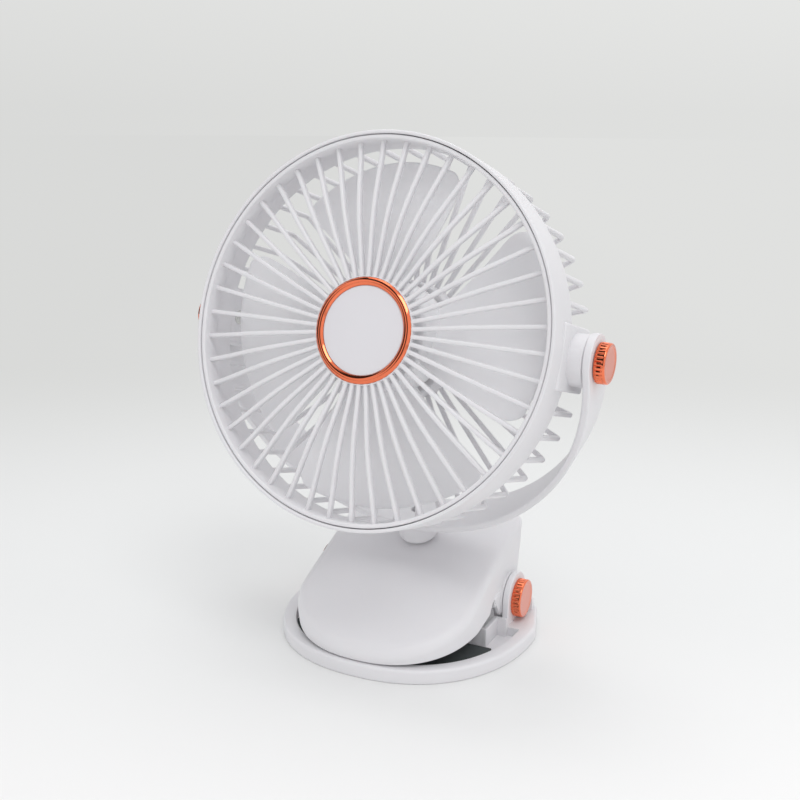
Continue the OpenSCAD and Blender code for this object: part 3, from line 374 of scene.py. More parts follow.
def as_faces(quads):
    """Face lists with the collapsed corners of a quad dropped."""
    keep = quads != np.roll(quads, 1, axis=1)
    full = keep.all(1)
    faces = quads[full].tolist()
    partial, masks = quads[~full], keep[~full]
    three = masks.sum(1) == 3
    order = np.argsort(~masks[three], axis=1, kind="stable")[:, :3]
    faces += np.take_along_axis(partial[three], order, 1).tolist()
    return faces


def piece(name, skins, place, body, material, nodes=(), crease=38):
    """One object from several skins, placed, in metres, riding on its body."""
    spots, faces, base = [], [], 0
    mirrored = np.linalg.det(place.turn) < 0
    for points, quads in skins:
        if isinstance(quads, np.ndarray):
            quads = as_faces(quads[:, ::-1] if mirrored else quads)
        elif mirrored:
            quads = [face[::-1] for face in quads]
        faces += [[k + base for k in face] for face in quads]
        spots.append(place.put(points) * MM)
        base += len(points)
    mesh = bpy.data.meshes.new(name)
    mesh.from_pydata(np.concatenate(spots).tolist(), [], faces)
    mesh.update()
    mesh.shade_smooth()
    mesh.set_sharp_from_angle(angle=math.radians(crease))
    obj = bpy.data.objects.new(name, mesh)
    bpy.context.scene.collection.objects.link(obj)
    mesh.materials.append(material)
    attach(obj, body)
    if nodes:
        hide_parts(*nodes)
    return obj


def soft_corners(points, radii, steps=5):
    """A closed polygon whose corners are arcs tangent to both of their sides."""
    p = np.asarray(points, float)
    r = np.broadcast_to(np.asarray(radii, float), len(p))
    before, after = np.roll(p, 1, 0) - p, np.roll(p, -1, 0) - p
    len_b = np.linalg.norm(before, axis=1, keepdims=True)
    len_a = np.linalg.norm(after, axis=1, keepdims=True)
    before, after = before / len_b, after / len_a
    half = 0.5 * np.arccos(np.clip((before * after).sum(1), -0.9999, 0.9999))
    reach = np.minimum(r / np.tan(half), 0.49 * np.minimum(len_b, len_a)[:, 0])[:, None]
    r = reach * np.tan(half)[:, None]
    middle = before + after
    middle /= np.linalg.norm(middle, axis=1, keepdims=True)
    centre = p + middle * r / np.sin(half)[:, None]
    start, end = p + before * reach - centre, p + after * reach - centre
    sweep = (np.pi - 2 * half)[:, None, None]
    t = np.linspace(0, 1, steps + 1)[None, :, None]
    bow = np.sin((1 - t) * sweep) * start[:, None] + np.sin(t * sweep) * end[:, None]
    return (centre[:, None] + bow / np.sin(sweep)).reshape(-1, 2)


def outward(loop):
    """Unit normals that point out of a closed flat outline."""
    along = np.roll(loop, -1, 0) - np.roll(loop, 1, 0)
    normal = np.stack([along[:, 1], -along[:, 0]], -1)
    return normal / np.linalg.norm(normal, axis=1, keepdims=True)


def turned(profile, steps=192, closed=True):
    """A profile (radius, height) turned about z. An open one ends on the axis."""
    t = np.arange(steps) * 2 * np.pi / steps
    r, z = np.asarray(profile, float).T
    grid = np.stack(
        [r[:, None] * np.cos(t), r[:, None] * np.sin(t), np.repeat(z[:, None], steps, 1)], -1
    )
    return skin(grid, wrap_rows=closed)


def measured(path, samples):
    """Points of a polyline at the given distances along it."""
    steps = np.linalg.norm(np.diff(path, axis=0), axis=1)
    run = np.concatenate([[0], np.cumsum(steps)])
    return np.stack([np.interp(samples, run, path[:, k]) for k in range(3)], -1), run[-1]


def stations(total, end_r, spacing):
    """Distances along a bar, close together where its ends are rounded."""
    bend = end_r * (1 - np.cos(np.linspace(0, np.pi / 2, 6)))
    inner = np.linspace(end_r, total - end_r, max(3, int((total - 2 * end_r) / spacing)))
    return np.concatenate([bend, inner[1:-1], total - bend[::-1]])


def carried(section, path, across, total_scale):
    """A closed section carried along a flat path. Its x runs across the path's plane and
    its y square to the path; each station is scaled, and both ends close on a point."""
    tangent = np.gradient(path, axis=0)
    tangent /= np.linalg.norm(tangent, axis=1, keepdims=True)
    normal = np.cross(tangent, across)
    scaled = section[None] * total_scale[:, None]
    grid = (
        path[:, None]
        + scaled[..., :1] * np.asarray(across, float)
        + scaled[..., 1:] * normal[:, None]
    )
    return skin(np.concatenate([path[None, :1].repeat(len(section), 1), grid,
                                path[None, -1:].repeat(len(section), 1)], 0))


def end_scale(samples, total, end_r, half):
    """How much a section shrinks where the bar's ends are rounded by end_r."""
    near = np.minimum(samples, total - samples)
    inset = end_r - np.sqrt(np.clip(end_r**2 - np.clip(end_r - near, 0, None) ** 2, 0, None))
    return 1 - inset[:, None] / np.asarray(half, float)


def bar(path, width, depth, edge, across, spacing=1.5, end_r=None):
    """A bar with a rounded rectangular section along a flat path, its ends rounded."""
    end_r = edge if end_r is None else end_r
    half = np.array([width / 2, depth / 2])
    corners = half * [[1, 1], [-1, 1], [-1, -1], [1, -1]]
    section = soft_corners(corners, edge, 3)
    _, total = measured(path, [0.0])
    samples = stations(total, end_r, spacing)
    line, _ = measured(path, samples)
    return carried(section, line, across, end_scale(samples, total, end_r, half))


def around(skins, number, first=0.0):
    """Copies of skins turned about z in equal steps."""
    copies = []
    for k in range(number):
        turn = about_z(first + 360.0 * k / number).T
        copies += [(points @ turn, quads) for points, quads in skins]
    return copies


def moved(skins, turn=None, move=(0, 0, 0)):
    place = Place(turn, move)
    flip = np.linalg.det(place.turn) < 0
    return [(place.put(p), q[:, ::-1] if flip else q) for p, q in skins]


def soft_box(low, high, r, steps=5):
    """A box with rounded edges: a ball's points pushed apart to the box's eight corners."""
    low, high = np.asarray(low, float), np.asarray(high, float)
    lat = np.concatenate([np.linspace(-90, 0, steps + 1), np.linspace(0, 90, steps + 1)])
    lon = (np.linspace(0, 90, steps + 1)[None] + np.arange(4)[:, None] * 90).ravel()
    la, lo = np.radians(lat)[:, None], np.radians(lon)[None]
    ball = np.stack([np.cos(la) * np.cos(lo), np.cos(la) * np.sin(lo),
                     np.sin(la) * np.ones_like(lo)], -1)
    quarter = np.repeat(np.arange(4), steps + 1)
    sx, sy = np.array([1, -1, -1, 1])[quarter], np.array([1, 1, -1, -1])[quarter]
    sz = np.repeat([-1, 1], steps + 1)
    sign = np.stack(np.broadcast_arrays(sx[None], sy[None], sz[:, None]), -1)
    middle, reach = (low + high) / 2, (high - low) / 2 - r
    grid = middle + sign * reach + r * ball
    pole = np.array([[middle[0], middle[1], low[2]], [middle[0], middle[1], high[2]]])
    return skin(np.concatenate([pole[:1, None].repeat(grid.shape[1], 1), grid,
                                pole[1:, None].repeat(grid.shape[1], 1)], 0))


def round_meet(a, b, r):
    """The inside of both a and b, with a rounded edge of radius r where they meet."""
    bow = np.hypot(np.maximum(a + r, 0), np.maximum(b + r, 0))
    return np.minimum(np.maximum(a, b), -r) + bow


def blown(centre, rays, field, reach=140.0, halvings=34):
    """Each ray from the centre runs out to where the field changes sign, by halving."""
    near = np.zeros(rays.shape[:-1])
    far = np.full(rays.shape[:-1], reach)
    for _ in range(halvings):
        middle = (near + far) / 2
        inside = field(centre + rays * middle[..., None]) < 0
        near, far = np.where(inside, middle, near), np.where(inside, far, middle)
    return centre + rays * near[..., None]


def cut(skins, cutters):
    """The skins with closed cutters taken out of them."""
    def solid(parts):
        spots, faces, base = [], [], 0
        for points, quads in parts:
            faces += [[k + base for k in f] for f in as_faces(quads)]
            spots.append(points)
            base += len(points)
        mesh = bpy.data.meshes.new("cut")
        mesh.from_pydata(np.concatenate(spots).tolist(), [], faces)
        obj = bpy.data.objects.new("cut", mesh)
        bpy.context.scene.collection.objects.link(obj)
        return obj

    whole, tool = solid(skins), solid(cutters)
    step = whole.modifiers.new("cut", "BOOLEAN")
    step.operation, step.solver, step.object = "DIFFERENCE", "EXACT", tool
    graph = bpy.context.evaluated_depsgraph_get()
    mesh = bpy.data.meshes.new_from_object(whole.evaluated_get(graph))
    spots = np.empty(len(mesh.vertices) * 3)
    mesh.vertices.foreach_get("co", spots)
    faces = [list(face.vertices) for face in mesh.polygons]
    for obj in (whole, tool):
        old = obj.data
        bpy.data.objects.remove(obj)
        bpy.data.meshes.remove(old)
    bpy.data.meshes.remove(mesh)
    return spots.reshape(-1, 3), faces


def drill(r, z_low, z_high, x=0.0, y=0.0, steps=64):
    """A plain round cutter along z."""
    profile = [[0, z_low], [r, z_low], [r, z_high], [0, z_high]]
    points, quads = turned(profile, steps, closed=False)
    return points + [x, y, 0], quads


# ------------------------------------------------------------------ materials


def finish(name, rgb, vary=0.03, patch=18.0, rough=0.4, rough_vary=0.06, grain=1400.0,
           grain_depth=0.012, metallic=0.0, specular=0.5, coat=0.0, subsurface=0.0,
           stretch=(1.0, 1.0, 1.0)):
    """A moulded or machined finish: broad faint clouds of colour, fine grain in the
    roughness and in the bump, all in the object's own coordinates."""
    material = bpy.data.materials.new(name)
    material.use_nodes = True
    tree = material.node_tree
    node, link = tree.nodes.new, tree.links.new
    shader = tree.nodes["Principled BSDF"]
    shader.inputs["Metallic"].default_value = metallic
    shader.inputs["Specular IOR Level"].default_value = specular
    shader.inputs["Coat Weight"].default_value = coat
    shader.inputs["Coat Roughness"].default_value = 0.12
    shader.inputs["Subsurface Weight"].default_value = subsurface
    shader.inputs["Subsurface Radius"].default_value = (0.004, 0.003, 0.003)
    place = node("ShaderNodeTexCoord")
    mapping = node("ShaderNodeMapping")
    mapping.inputs["Scale"].default_value = stretch
    link(place.outputs["Object"], mapping.inputs["Vector"])

    clouds = node("ShaderNodeTexNoise")
    clouds.inputs["Scale"].default_value = patch
    clouds.inputs["Detail"].default_value = 4.0
    link(mapping.outputs["Vector"], clouds.inputs["Vector"])
    ramp = node("ShaderNodeValToRGB")
    dark = [c * (1 - vary) for c in rgb]
    light = [min(1.0, c * (1 + vary)) for c in rgb]
    ramp.color_ramp.elements[0].position = 0.3
    ramp.color_ramp.elements[0].color = (*dark, 1)
    ramp.color_ramp.elements[1].position = 0.7
    ramp.color_ramp.elements[1].color = (*light, 1)
    link(clouds.outputs["Fac"], ramp.inputs["Fac"])
    link(ramp.outputs["Color"], shader.inputs["Base Color"])

    fine = node("ShaderNodeTexNoise")
    fine.inputs["Scale"].default_value = grain
    fine.inputs["Detail"].default_value = 3.0
    link(mapping.outputs["Vector"], fine.inputs["Vector"])
    level = node("ShaderNodeMapRange")
    level.inputs["To Min"].default_value = max(0.02, rough - rough_vary)
    level.inputs["To Max"].default_value = rough + rough_vary
    link(fine.outputs["Fac"], level.inputs["Value"])
    link(level.outputs["Result"], shader.inputs["Roughness"])
    bump = node("ShaderNodeBump")
    bump.inputs["Strength"].default_value = 0.5
    bump.inputs["Distance"].default_value = grain_depth * MM
    link(fine.outputs["Fac"], bump.inputs["Height"])
    link(bump.outputs["Normal"], shader.inputs["Normal"])
    return SimpleNamespace(material=material, tree=tree, shader=shader, mapping=mapping,
                           ramp=ramp, bump=bump, fine=fine)


def striped(name, rgb, pitch, direction="Z", **options):
    """A finish whose bump and colour run in fine stripes, as turns of wire or laminations."""
    made = finish(name, rgb, **options)
    node, link = made.tree.nodes.new, made.tree.links.new
    wave = node("ShaderNodeTexWave")
    wave.bands_direction = direction
    wave.inputs["Scale"].default_value = 0.314 / (pitch * MM)
    wave.inputs["Distortion"].default_value = 0.6
    wave.inputs["Detail"].default_value = 1.0
    link(made.mapping.outputs["Vector"], wave.inputs["Vector"])
    link(wave.outputs["Fac"], made.ramp.inputs["Fac"])
    link(wave.outputs["Fac"], made.bump.inputs["Height"])
    made.bump.inputs["Distance"].default_value = 0.25 * pitch * MM
    return made


def printed_board(name, rgb):
    """Solder mask with rows of tinned pads: bricks in the mask's plane."""
    made = finish(name, rgb, vary=0.12, patch=90, rough=0.35, grain=2500)
    node, link = made.tree.nodes.new, made.tree.links.new
    brick = node("ShaderNodeTexBrick")
    brick.inputs["Color1"].default_value = (*rgb, 1)
    brick.inputs["Color2"].default_value = (*[c * 1.5 for c in rgb], 1)
    brick.inputs["Mortar"].default_value = (0.45, 0.44, 0.36, 1)
    brick.inputs["Scale"].default_value = 210.0
    brick.inputs["Mortar Size"].default_value = 0.02
    link(made.mapping.outputs["Vector"], brick.inputs["Vector"])
    link(brick.outputs["Color"], made.shader.inputs["Base Color"])
    return made


def satin_ends_painted_highlight(made, rgb):
    """Faces that look along X, as the ends of the knobs do, turn satin, and take a paler colour as
    a painted highlight.
    """
    node, link = made.tree.nodes.new, made.tree.links.new
    spot = node("ShaderNodeTexCoord")
    split = node("ShaderNodeSeparateXYZ")
    link(spot.outputs["Normal"], split.inputs["Vector"])
    size = node("ShaderNodeMath")
    size.operation = "ABSOLUTE"
    link(split.outputs["X"], size.inputs[0])
    facing = node("ShaderNodeMapRange")
    facing.inputs["From Min"].default_value = 0.95
    facing.inputs["From Max"].default_value = 0.985
    link(size.outputs["Value"], facing.inputs["Value"])
    # Painted highlight: faces looking along X take the paler end colour.
    tone = node("ShaderNodeMixRGB")
    tone.inputs["Color2"].default_value = (*rgb, 1)
    link(facing.outputs["Result"], tone.inputs["Fac"])
    link(made.ramp.outputs["Color"], tone.inputs["Color1"])
    link(tone.outputs["Color"], made.shader.inputs["Base Color"])
    blur = node("ShaderNodeMapRange")
    blur.inputs["To Min"].default_value = 0.09
    blur.inputs["To Max"].default_value = 0.45
    link(facing.outputs["Result"], blur.inputs["Value"])
    link(blur.outputs["Result"], made.shader.inputs["Roughness"])


def palette():
    """All of the fan's materials, made once."""
    look = values(bpy.context.scene.fan_finish)
    made = {
        "white_plastic": finish("white moulded plastic", look.white, rough=0.42,
                                subsurface=0.06, specular=0.45),
        "cap_white": finish("smooth cap plastic", look.cap, vary=0.015, rough=0.3,
                            grain=2200, grain_depth=0.004, coat=0.25),
        # Painted light: the blades get a whiter colour to offset the shade inside the cage.
        "blade_white": finish("blade plastic", look.blade, rough=0.36, grain=1000,
                              subsurface=0.05),
        "white_matte": finish("inner moulded plastic", look.inner, rough=0.55),
        "rose_gold": finish("rose metal", look.rose, vary=0.05, patch=40, rough=0.13,
                            rough_vary=0.04, grain=260, grain_depth=0.05, metallic=1.0,
                            coat=0.15),
        "dark_rubber": finish("dark rubber", look.rubber, vary=0.18, patch=70, rough=0.72,
                              grain=2400, grain_depth=0.05, specular=0.35),
        "steel": finish("steel", look.steel, rough=0.28, metallic=1.0, grain=900),
        "spring_steel": finish("spring steel", (0.36, 0.36, 0.35), rough=0.32,
                               metallic=1.0, grain=1500),
        "cell_wrap": finish("cell wrap", (0.55, 0.60, 0.68), vary=0.06, patch=55,
                            rough=0.3, rough_vary=0.1, grain=300, grain_depth=0.08,
                            metallic=0.4),
        "board_green": printed_board("circuit board", look.board),
        "black_plastic": finish("black plastic", (0.02, 0.02, 0.022), vary=0.1,
                                rough=0.4),
        "port_metal": finish("port shell", (0.55, 0.55, 0.56), rough=0.22, metallic=1.0),
        "light_lens": finish("light lens", (0.62, 0.72, 0.74), rough=0.12, coat=0.6),
        "brass": striped("turned brass", look.brass, 0.12, rough=0.25, metallic=1.0),
        "core_steel": striped("core laminations", (0.30, 0.31, 0.33), 0.5, "Z",
                              rough=0.38, metallic=0.9),
        "copper_wire": striped("copper wire", look.copper, 0.3, "Z", rough=0.28,
                               metallic=0.9),
        "lead_sheath": finish("lead sheath", (0.05, 0.05, 0.052), vary=0.12, rough=0.5,
                              grain=1800),
        "can_steel": finish("rotor can", (0.42, 0.42, 0.43), rough=0.3, metallic=1.0),
        "magnet_black": finish("magnet", (0.045, 0.045, 0.05), vary=0.15, rough=0.6,
                               grain=1800, grain_depth=0.04),
    }
    satin_ends_painted_highlight(made["rose_gold"], look.rose_end)
    return {slot: one.material for slot, one in made.items()}


def paint(slot):
    """The material of a slot, made on its first use."""
    stored = bpy.context.scene.get("fan_palette")
    if stored is None:
        made = palette()
        bpy.context.scene["fan_palette"] = {k: m.name for k, m in made.items()}
        return made[slot]
    return bpy.data.materials[stored[slot]]


# ------------------------------------------------------------------ the head


class FAN_OT_front_guard(bpy.types.Operator):
    """Makes the front grille: rim, bars and the seat of the hub cap"""

    bl_idname = "clipfan.front_guard"
    bl_label = "Front grille"

    def execute(self, context):
        _, yoke, head = all_sizes()
        rim_r = head.band_r - head.lip_t - 0.35
        inner = rim_r - head.skirt_t
        rim = soft_corners(
            [[inner, -head.skirt_d], [rim_r, -head.skirt_d], [rim_r, 0], [inner, 0]],
            [0.3, 0.3, 0.5, 0.75],
        )
        plate_r = head.ring_r + 0.5
        seat = soft_corners(
            [[0, -3.6], [plate_r, -3.6], [plate_r, 0], [head.ring_r + 0.1, 0],
             [head.ring_r + 0.1, -1.2], [0, -1.2]],
            [0, 0.8, 0.15, 0.1, 0.1, 0],
        )
        out = inner + 0.5
        start = plate_r - 1.0
        places = start + (out - start) * np.array([0, 0.253, 0.4725, 0.656, 0.8205, 1.0])
        rises = np.array([-0.05, 0.3, 0.5, -0.7, -2.0, -3.0])
        r = np.linspace(start, out, 60)
        bow = np.polynomial.polynomial.polyfit(places, rises, 4)
        rise = np.polynomial.polynomial.polyval(r, bow) - head.spoke_d / 2
        line = np.stack([r, np.zeros_like(r), rise], -1)
        spoke = bar(line, head.spoke_w, head.spoke_d, 0.6, (0, 1, 0), spacing=2.2)
        skins = [turned(rim, 256), turned(seat, 160, closed=False)]
        skins += around([spoke], head.bars, head.bar_turn)
        piece("front_guard", skins, head_place(yoke, head), "head",
              paint("white_plastic"), ("front_grille",))
        return {"FINISHED"}


class FAN_OT_hub_trim(bpy.types.Operator):
    """Makes the rose trim ring and the bare hub cap"""

    bl_idname = "clipfan.hub_trim"
    bl_label = "Hub trim"

    def execute(self, context):
        _, yoke, head = all_sizes()
        place = head_place(yoke, head)
        r_in, r_out, top = head.ring_r - head.ring_w, head.ring_r, head.ring_proud
        ring = soft_corners(
            [[r_in, -1.2], [r_out, -1.2], [r_out, -0.05], [r_out - 1.0, top],
             [r_in + 1.0, top], [r_in, 0.05]],
            [0, 0, 0.35, 1.3, 1.3, 0.35], 8,
        )
        piece("trim_band", [turned(ring, 256)], place, "head",
              paint("rose_gold"), ("trim_ring",))
        cap_r = r_in - 0.05
        r = np.linspace(0, 1, 24)
        crown = np.stack([r * (cap_r - 0.35), head.cap_proud * (1 - r**2)], -1)
        edge = cap_r - 0.35 + 0.35 * np.sin(np.radians([18, 36, 54, 72, 90]))
        drop = -0.35 * (1 - np.cos(np.radians([18, 36, 54, 72, 90])))
        side = np.stack([edge, drop], -1)
        below = np.array([[cap_r, -1.2], [0, -1.2]])
        disc = np.concatenate([crown, side, below])
        piece("hub_disc", [turned(disc, 192, closed=False)], place, "head",
              paint("cap_white"), ("hub_cap",))
        return {"FINISHED"}


class FAN_OT_rear_guard(bpy.types.Operator):
    """Makes the rear housing: band, bent bars, motor bay and pivot bosses"""

    bl_idname = "clipfan.rear_guard"
    bl_label = "Rear housing"

    def band(self, head):
        r, inner = head.band_r, head.band_r - head.band_t
        step = head.skirt_d + 0.1
        profile = soft_corners(
            [[inner, -head.band_d], [r, -head.band_d], [r, head.lip_d],
             [r - head.lip_t, head.lip_d], [r - head.lip_t, -step], [inner, -step]],
            [0.5, 0.9, 0.65, 0.5, 0.05, 0.2],
        )
        return turned(profile, 288)

    def cage(self, head):
        middle = head.band_r - 0.3 - head.cage_t / 2
        back = -head.head_d + 0.3 + head.cage_t / 2
        bend = head.cage_bend - head.cage_t / 2
        t = np.radians(np.linspace(0, -90, 9))
        curve = np.stack([middle - bend + bend * np.cos(t), back + bend + bend * np.sin(t)], -1)
        flat = np.concatenate([[[middle, 1.5 - head.band_d]], curve,
                               [[head.bay_r - head.bay_t / 2, back]]])
        line = np.stack([flat[:, 0], np.zeros(len(flat)), flat[:, 1]], -1)
        run = np.linalg.norm(np.diff(line, axis=0), axis=1).cumsum()
        bends = np.concatenate([np.linspace(run[0] - 0.3, run[-2] + 0.3, 10)])
        _, total = measured(line, [0.0])
        samples = np.unique(np.concatenate([stations(total, 0.3, 6.0), bends]))
        half = np.array([head.cage_w / 2, head.cage_t / 2])
        section = soft_corners(half * [[1, 1], [-1, 1], [-1, -1], [1, -1]], 0.62, 3)
        path, _ = measured(line, samples)
        one = carried(section, path, (0, 1, 0), end_scale(samples, total, 0.3, half))
        return around([one], head.bars, head.bar_turn)

    def bay(self, head):
        front, wall = -head.bay_front, -head.bay_front - head.bay_t
        inner = head.bay_r - head.bay_t
        profile = soft_corners(
            [[4.7, front], [head.bay_r, front], [head.bay_r, -head.head_d],
             [inner, -head.head_d], [inner, wall], [7.0, wall], [7.0, wall - 2.4],
             [4.7, wall - 2.4]],
            [0.2, 1.2, 0.6, 0.3, 0.6, 0.4, 0.2, 0.2],
        )
        return turned(profile, 192)

    def boss(self, head, side):
        pin, end = head.pin_r, head.boss_end
        start = head.band_r - head.band_t + 0.4
        profile = soft_corners(
            [[pin, start], [head.boss_r, start], [head.boss_r, end], [7.1, end],
             [7.1, end - 0.8], [pin, end - 0.8]],
            [0.1, 0.1, 0.8, 0.15, 0.1, 0.1],
        )
        turn = ACROSS.copy()
        turn[0, 2] = side
        return moved([turned(profile, 96)], turn, (0, 0, -head.seam_front))

    def block(self, head, side):
        low = [head.band_r - head.band_t + 1.0, -head.block_w / 2, -head.block_d]
        high = [head.band_r + 1.0, head.block_w / 2, -head.skirt_d - 1.0]
        points, quads = soft_box(low, high, 0.9)
        outer = head.band_r + 1.0
        points = points.copy()
        points[:, 0] -= outer - np.sqrt(outer**2 - points[:, 1] ** 2)
        return moved([(points, quads)], np.diag([side, 1.0, 1.0]))

    def execute(self, context):
        _, yoke, head = all_sizes()
        skins = [self.band(head), self.bay(head)] + self.cage(head)
        for side in (-1, 1):
            skins += self.boss(head, side) + self.block(head, side)
        piece("rear_guard", skins, head_place(yoke, head), "head",
              paint("white_plastic"), ("rear_housing",))
        return {"FINISHED"}


class FAN_OT_fan_blades(bpy.types.Operator):
    """Makes the impeller: hub and wide swept blades"""

    bl_idname = "clipfan.fan_blades"
    bl_label = "Impeller"

    def blade(self, head):
        """Each section runs once round the blade: out along its front face and back along
        its rear face. Radius grows with u, angle and depth with v; thickness falls to the
        tip and rounds off at both edges and at the tip."""
        u = np.concatenate([np.linspace(0, 0.96, 34), 0.96 + 0.04 * np.sin(
            np.linspace(0, np.pi / 2, 7))[1:]])[:, None]
        loop = np.linspace(0, 2 * np.pi, 81)[:-1][None]
        v, face = np.cos(loop), np.sin(loop)
        corner = np.clip((u - 0.8) / 0.2, 0, 1)
        v = v * (1 - 0.16 * (1 - np.sqrt(1 - 0.97 * corner**2)))
        r = head.hub_r - 0.6 + (head.tip_r - head.hub_r + 0.6) * u
        turn = np.radians(head.blade_half * (0.86 + 0.3 * u - 0.16 * u * u) * v + 6 * u)
        front, rear = head.hub_front + 2.0, head.hub_rear - 1.0
        depth = (front + rear) / 2 + (rear - front) / 2 * v * (0.92 - 0.12 * v * v)
        thick = (2.2 + (1.2 - 2.2) * u) / 2
        thick = thick * np.sqrt(np.clip(1 - ((u - 0.96) / 0.0401).clip(0, 1) ** 2, 0, 1))
        z = -depth + thick * np.sign(face) * np.abs(face) ** 0.35
        return skin(np.stack([r * np.cos(turn), r * np.sin(turn), z], -1))

    def execute(self, context):
        _, yoke, head = all_sizes()
        r, front, rear, wall = head.hub_r, -head.hub_front, -head.hub_rear, 1.6
        hub = soft_corners(
            [[1.5, front], [r, front], [r, rear], [r - wall, rear],
             [r - wall, front - wall], [3.6, front - wall], [3.6, front - wall - 0.1],
             [1.5, front - wall - 0.1]],
            [0.2, 2.0, 0.4, 0.4, 0.6, 0.02, 0.02, 0.02],
        )
        blade = self.blade(head)
        skins = [turned(hub, 160)] + around([blade], head.blades, head.blade_turn)
        piece("fan_blades", skins, head_place(yoke, head), "rotor",
              paint("blade_white"), ("impeller",))
        return {"FINISHED"}


class FAN_OT_knobs(bpy.types.Operator):
    """Makes the four fluted rose knobs"""

    bl_idname = "clipfan.knobs"
    bl_label = "Knobs"

    def knob(self, clip, r, inner, bore_r, bore_d):
        """Radius falls in rounded flutes about the axis; the flutes fade out towards the
        bevelled end, whose face is dished a little."""
        long = clip.knob_len
        t = np.arange(clip.flutes * 12) * 2 * np.pi / (clip.flutes * 12)
        groove = np.abs(np.cos(clip.flutes * t / 2)) ** 6
        rows = [
            (0.0, bore_d, 0), (bore_r, bore_d, 0), (bore_r, 0.0, 0), (r - 0.35, 0.0, 0.6),
            (r - 0.08, 0.08, 1), (r, 0.35, 1), (r, long * 0.35, 1), (r, long * 0.62, 1),
            (r, long * 0.72, 0.75), (r, long * 0.79, 0.25), (r, long * 0.84, 0),
            (r - 0.1, long * 0.92, 0), (r - 0.3, long * 0.975, 0), (r - 0.62, long, 0),
            (r - 1.2, long, 0), (r - 1.5, long - 0.05, 0), (r - 1.75, long - 0.16, 0),
            (r * 0.5, long - 0.2, 0), (0.0, long - 0.2, 0),
        ]
        radius, height, depth = np.array(rows).T
        grown = radius[:, None] - 0.42 * depth[:, None] * groove[None]
        grid = np.stack([grown * np.cos(t), grown * np.sin(t),
                         np.repeat(height[:, None] + inner, len(t), 1)], -1)
        return skin(grid)

    def execute(self, context):
        clip, yoke, head = all_sizes()
        tilt_in = yoke.ring_r + yoke.strip_t + yoke.clear
        ear_out = clip.ear_in + clip.ear_t
        for side, word in ((-1, "left"), (1, "right")):
            depth = clip.knob_len * 0.6 + 0.1
            tilt_knob = self.knob(clip, clip.knob_r, tilt_in, head.pin_r + 0.05, depth)
            piece("tilt_knob_cap_" + word, [tilt_knob],
                  tilt_place(yoke, head, side), "head", paint("rose_gold"),
                  ("tilt_knob_" + word,), crease=50)
            hinge_knob = self.knob(clip, clip.grip_knob_r, ear_out, clip.pin_r + 0.05, depth)
            piece("hinge_knob_cap_" + word, [hinge_knob],
                  hinge_place(clip, side), "base", paint("rose_gold"),
                  ("hinge_knob_" + word,), crease=50)
        return {"FINISHED"}


# ------------------------------------------------------------------ the yoke


class FAN_OT_yoke(bpy.types.Operator):
    """Makes the half-ring yoke, its collar and its stem"""

    bl_idname = "clipfan.yoke"
    bl_label = "Yoke"

    def strip(self, yoke):
        """A rounded strip carried down one arm, round the half ring and up the other; its
        width closes on a circle about the tilt axis at both ends."""
        r, centre = yoke.ring_r + yoke.strip_t / 2, yoke.pivot_up - yoke.ring_drop
        half_w, top = yoke.strip_w / 2, yoke.pivot_up + yoke.strip_w / 2
        t = np.radians(np.linspace(180, 360, 241))
        ring = np.stack([r * np.cos(t), np.zeros_like(t), centre + r * np.sin(t)], -1)
        line = np.concatenate([[[-r, 0, top]], ring, [[r, 0, top]]])
        _, total = measured(line, [0.0])
        rise = half_w * (1 - np.cos(np.linspace(0.02, np.pi / 2, 28)))
        samples = np.concatenate(
            [rise, np.linspace(half_w + 0.5, total - half_w - 0.5, 240), total - rise[::-1]]
        )
        path, _ = measured(line, samples)
        near = np.minimum(samples, total - samples)
        width = np.sqrt(np.clip(half_w**2 - np.clip(half_w - near, 0, None) ** 2, 0, None))
        scale = np.stack([width / half_w, np.ones_like(width)], -1)
        half = np.array([half_w, yoke.strip_t / 2])
        section = soft_corners(half * [[1, 1], [-1, 1], [-1, -1], [1, -1]], 0.75, 5)
        return carried(section, path, (0, 1, 0), scale)

    def execute(self, context):
        _, yoke, head = all_sizes()
        inner, pin = yoke.ring_r, head.pin_r + 0.05
        pocket = head.boss_r + yoke.clear
        sides = [[0, -inner - 9], [pin, -inner - 9], [pin, -inner], [pocket, -inner],
                 [pocket, inner], [pin, inner], [pin, inner + 9], [0, inner + 9]]
        bore = moved([turned(sides, 96, closed=False)], ACROSS, (0, 0, yoke.pivot_up))
        bottom = yoke.pivot_up - yoke.ring_drop - yoke.ring_r
        bore += [drill(yoke.lead_r, bottom - 8, bottom + 6)]
        strip = cut([self.strip(yoke)], bore)
        low, edge = yoke.clear, yoke.collar_edge
        t = np.radians(np.linspace(-90, 0, 10))
        arc = np.stack([yoke.collar_r - edge + edge * np.cos(t),
                        low + edge + edge * np.sin(t)], -1)
        collar_top = bottom - yoke.strip_t
        flare = np.array([[0, -1.4], [0.12, -0.8], [0.5, -0.2], [1.1, 0.15], [1.1, 0.9]])
        flare = flare + [yoke.collar_r, collar_top]
        profile = np.concatenate([
            [[yoke.lead_r, -yoke.stem_down], [yoke.stem_r - 0.3, -yoke.stem_down],
             [yoke.stem_r, 0.3 - yoke.stem_down], [yoke.stem_r, low]],
            arc, flare, [[yoke.lead_r, collar_top + 0.9]],
        ])
        piece("yoke_arms", [strip, turned(profile, 128)], swivel_place(yoke), "yoke",
              paint("white_plastic"), ("yoke",))
        return {"FINISHED"}


# ------------------------------------------------------------------ the clip


NOSE_POWER = 2.3  # squareness of the shell's nose


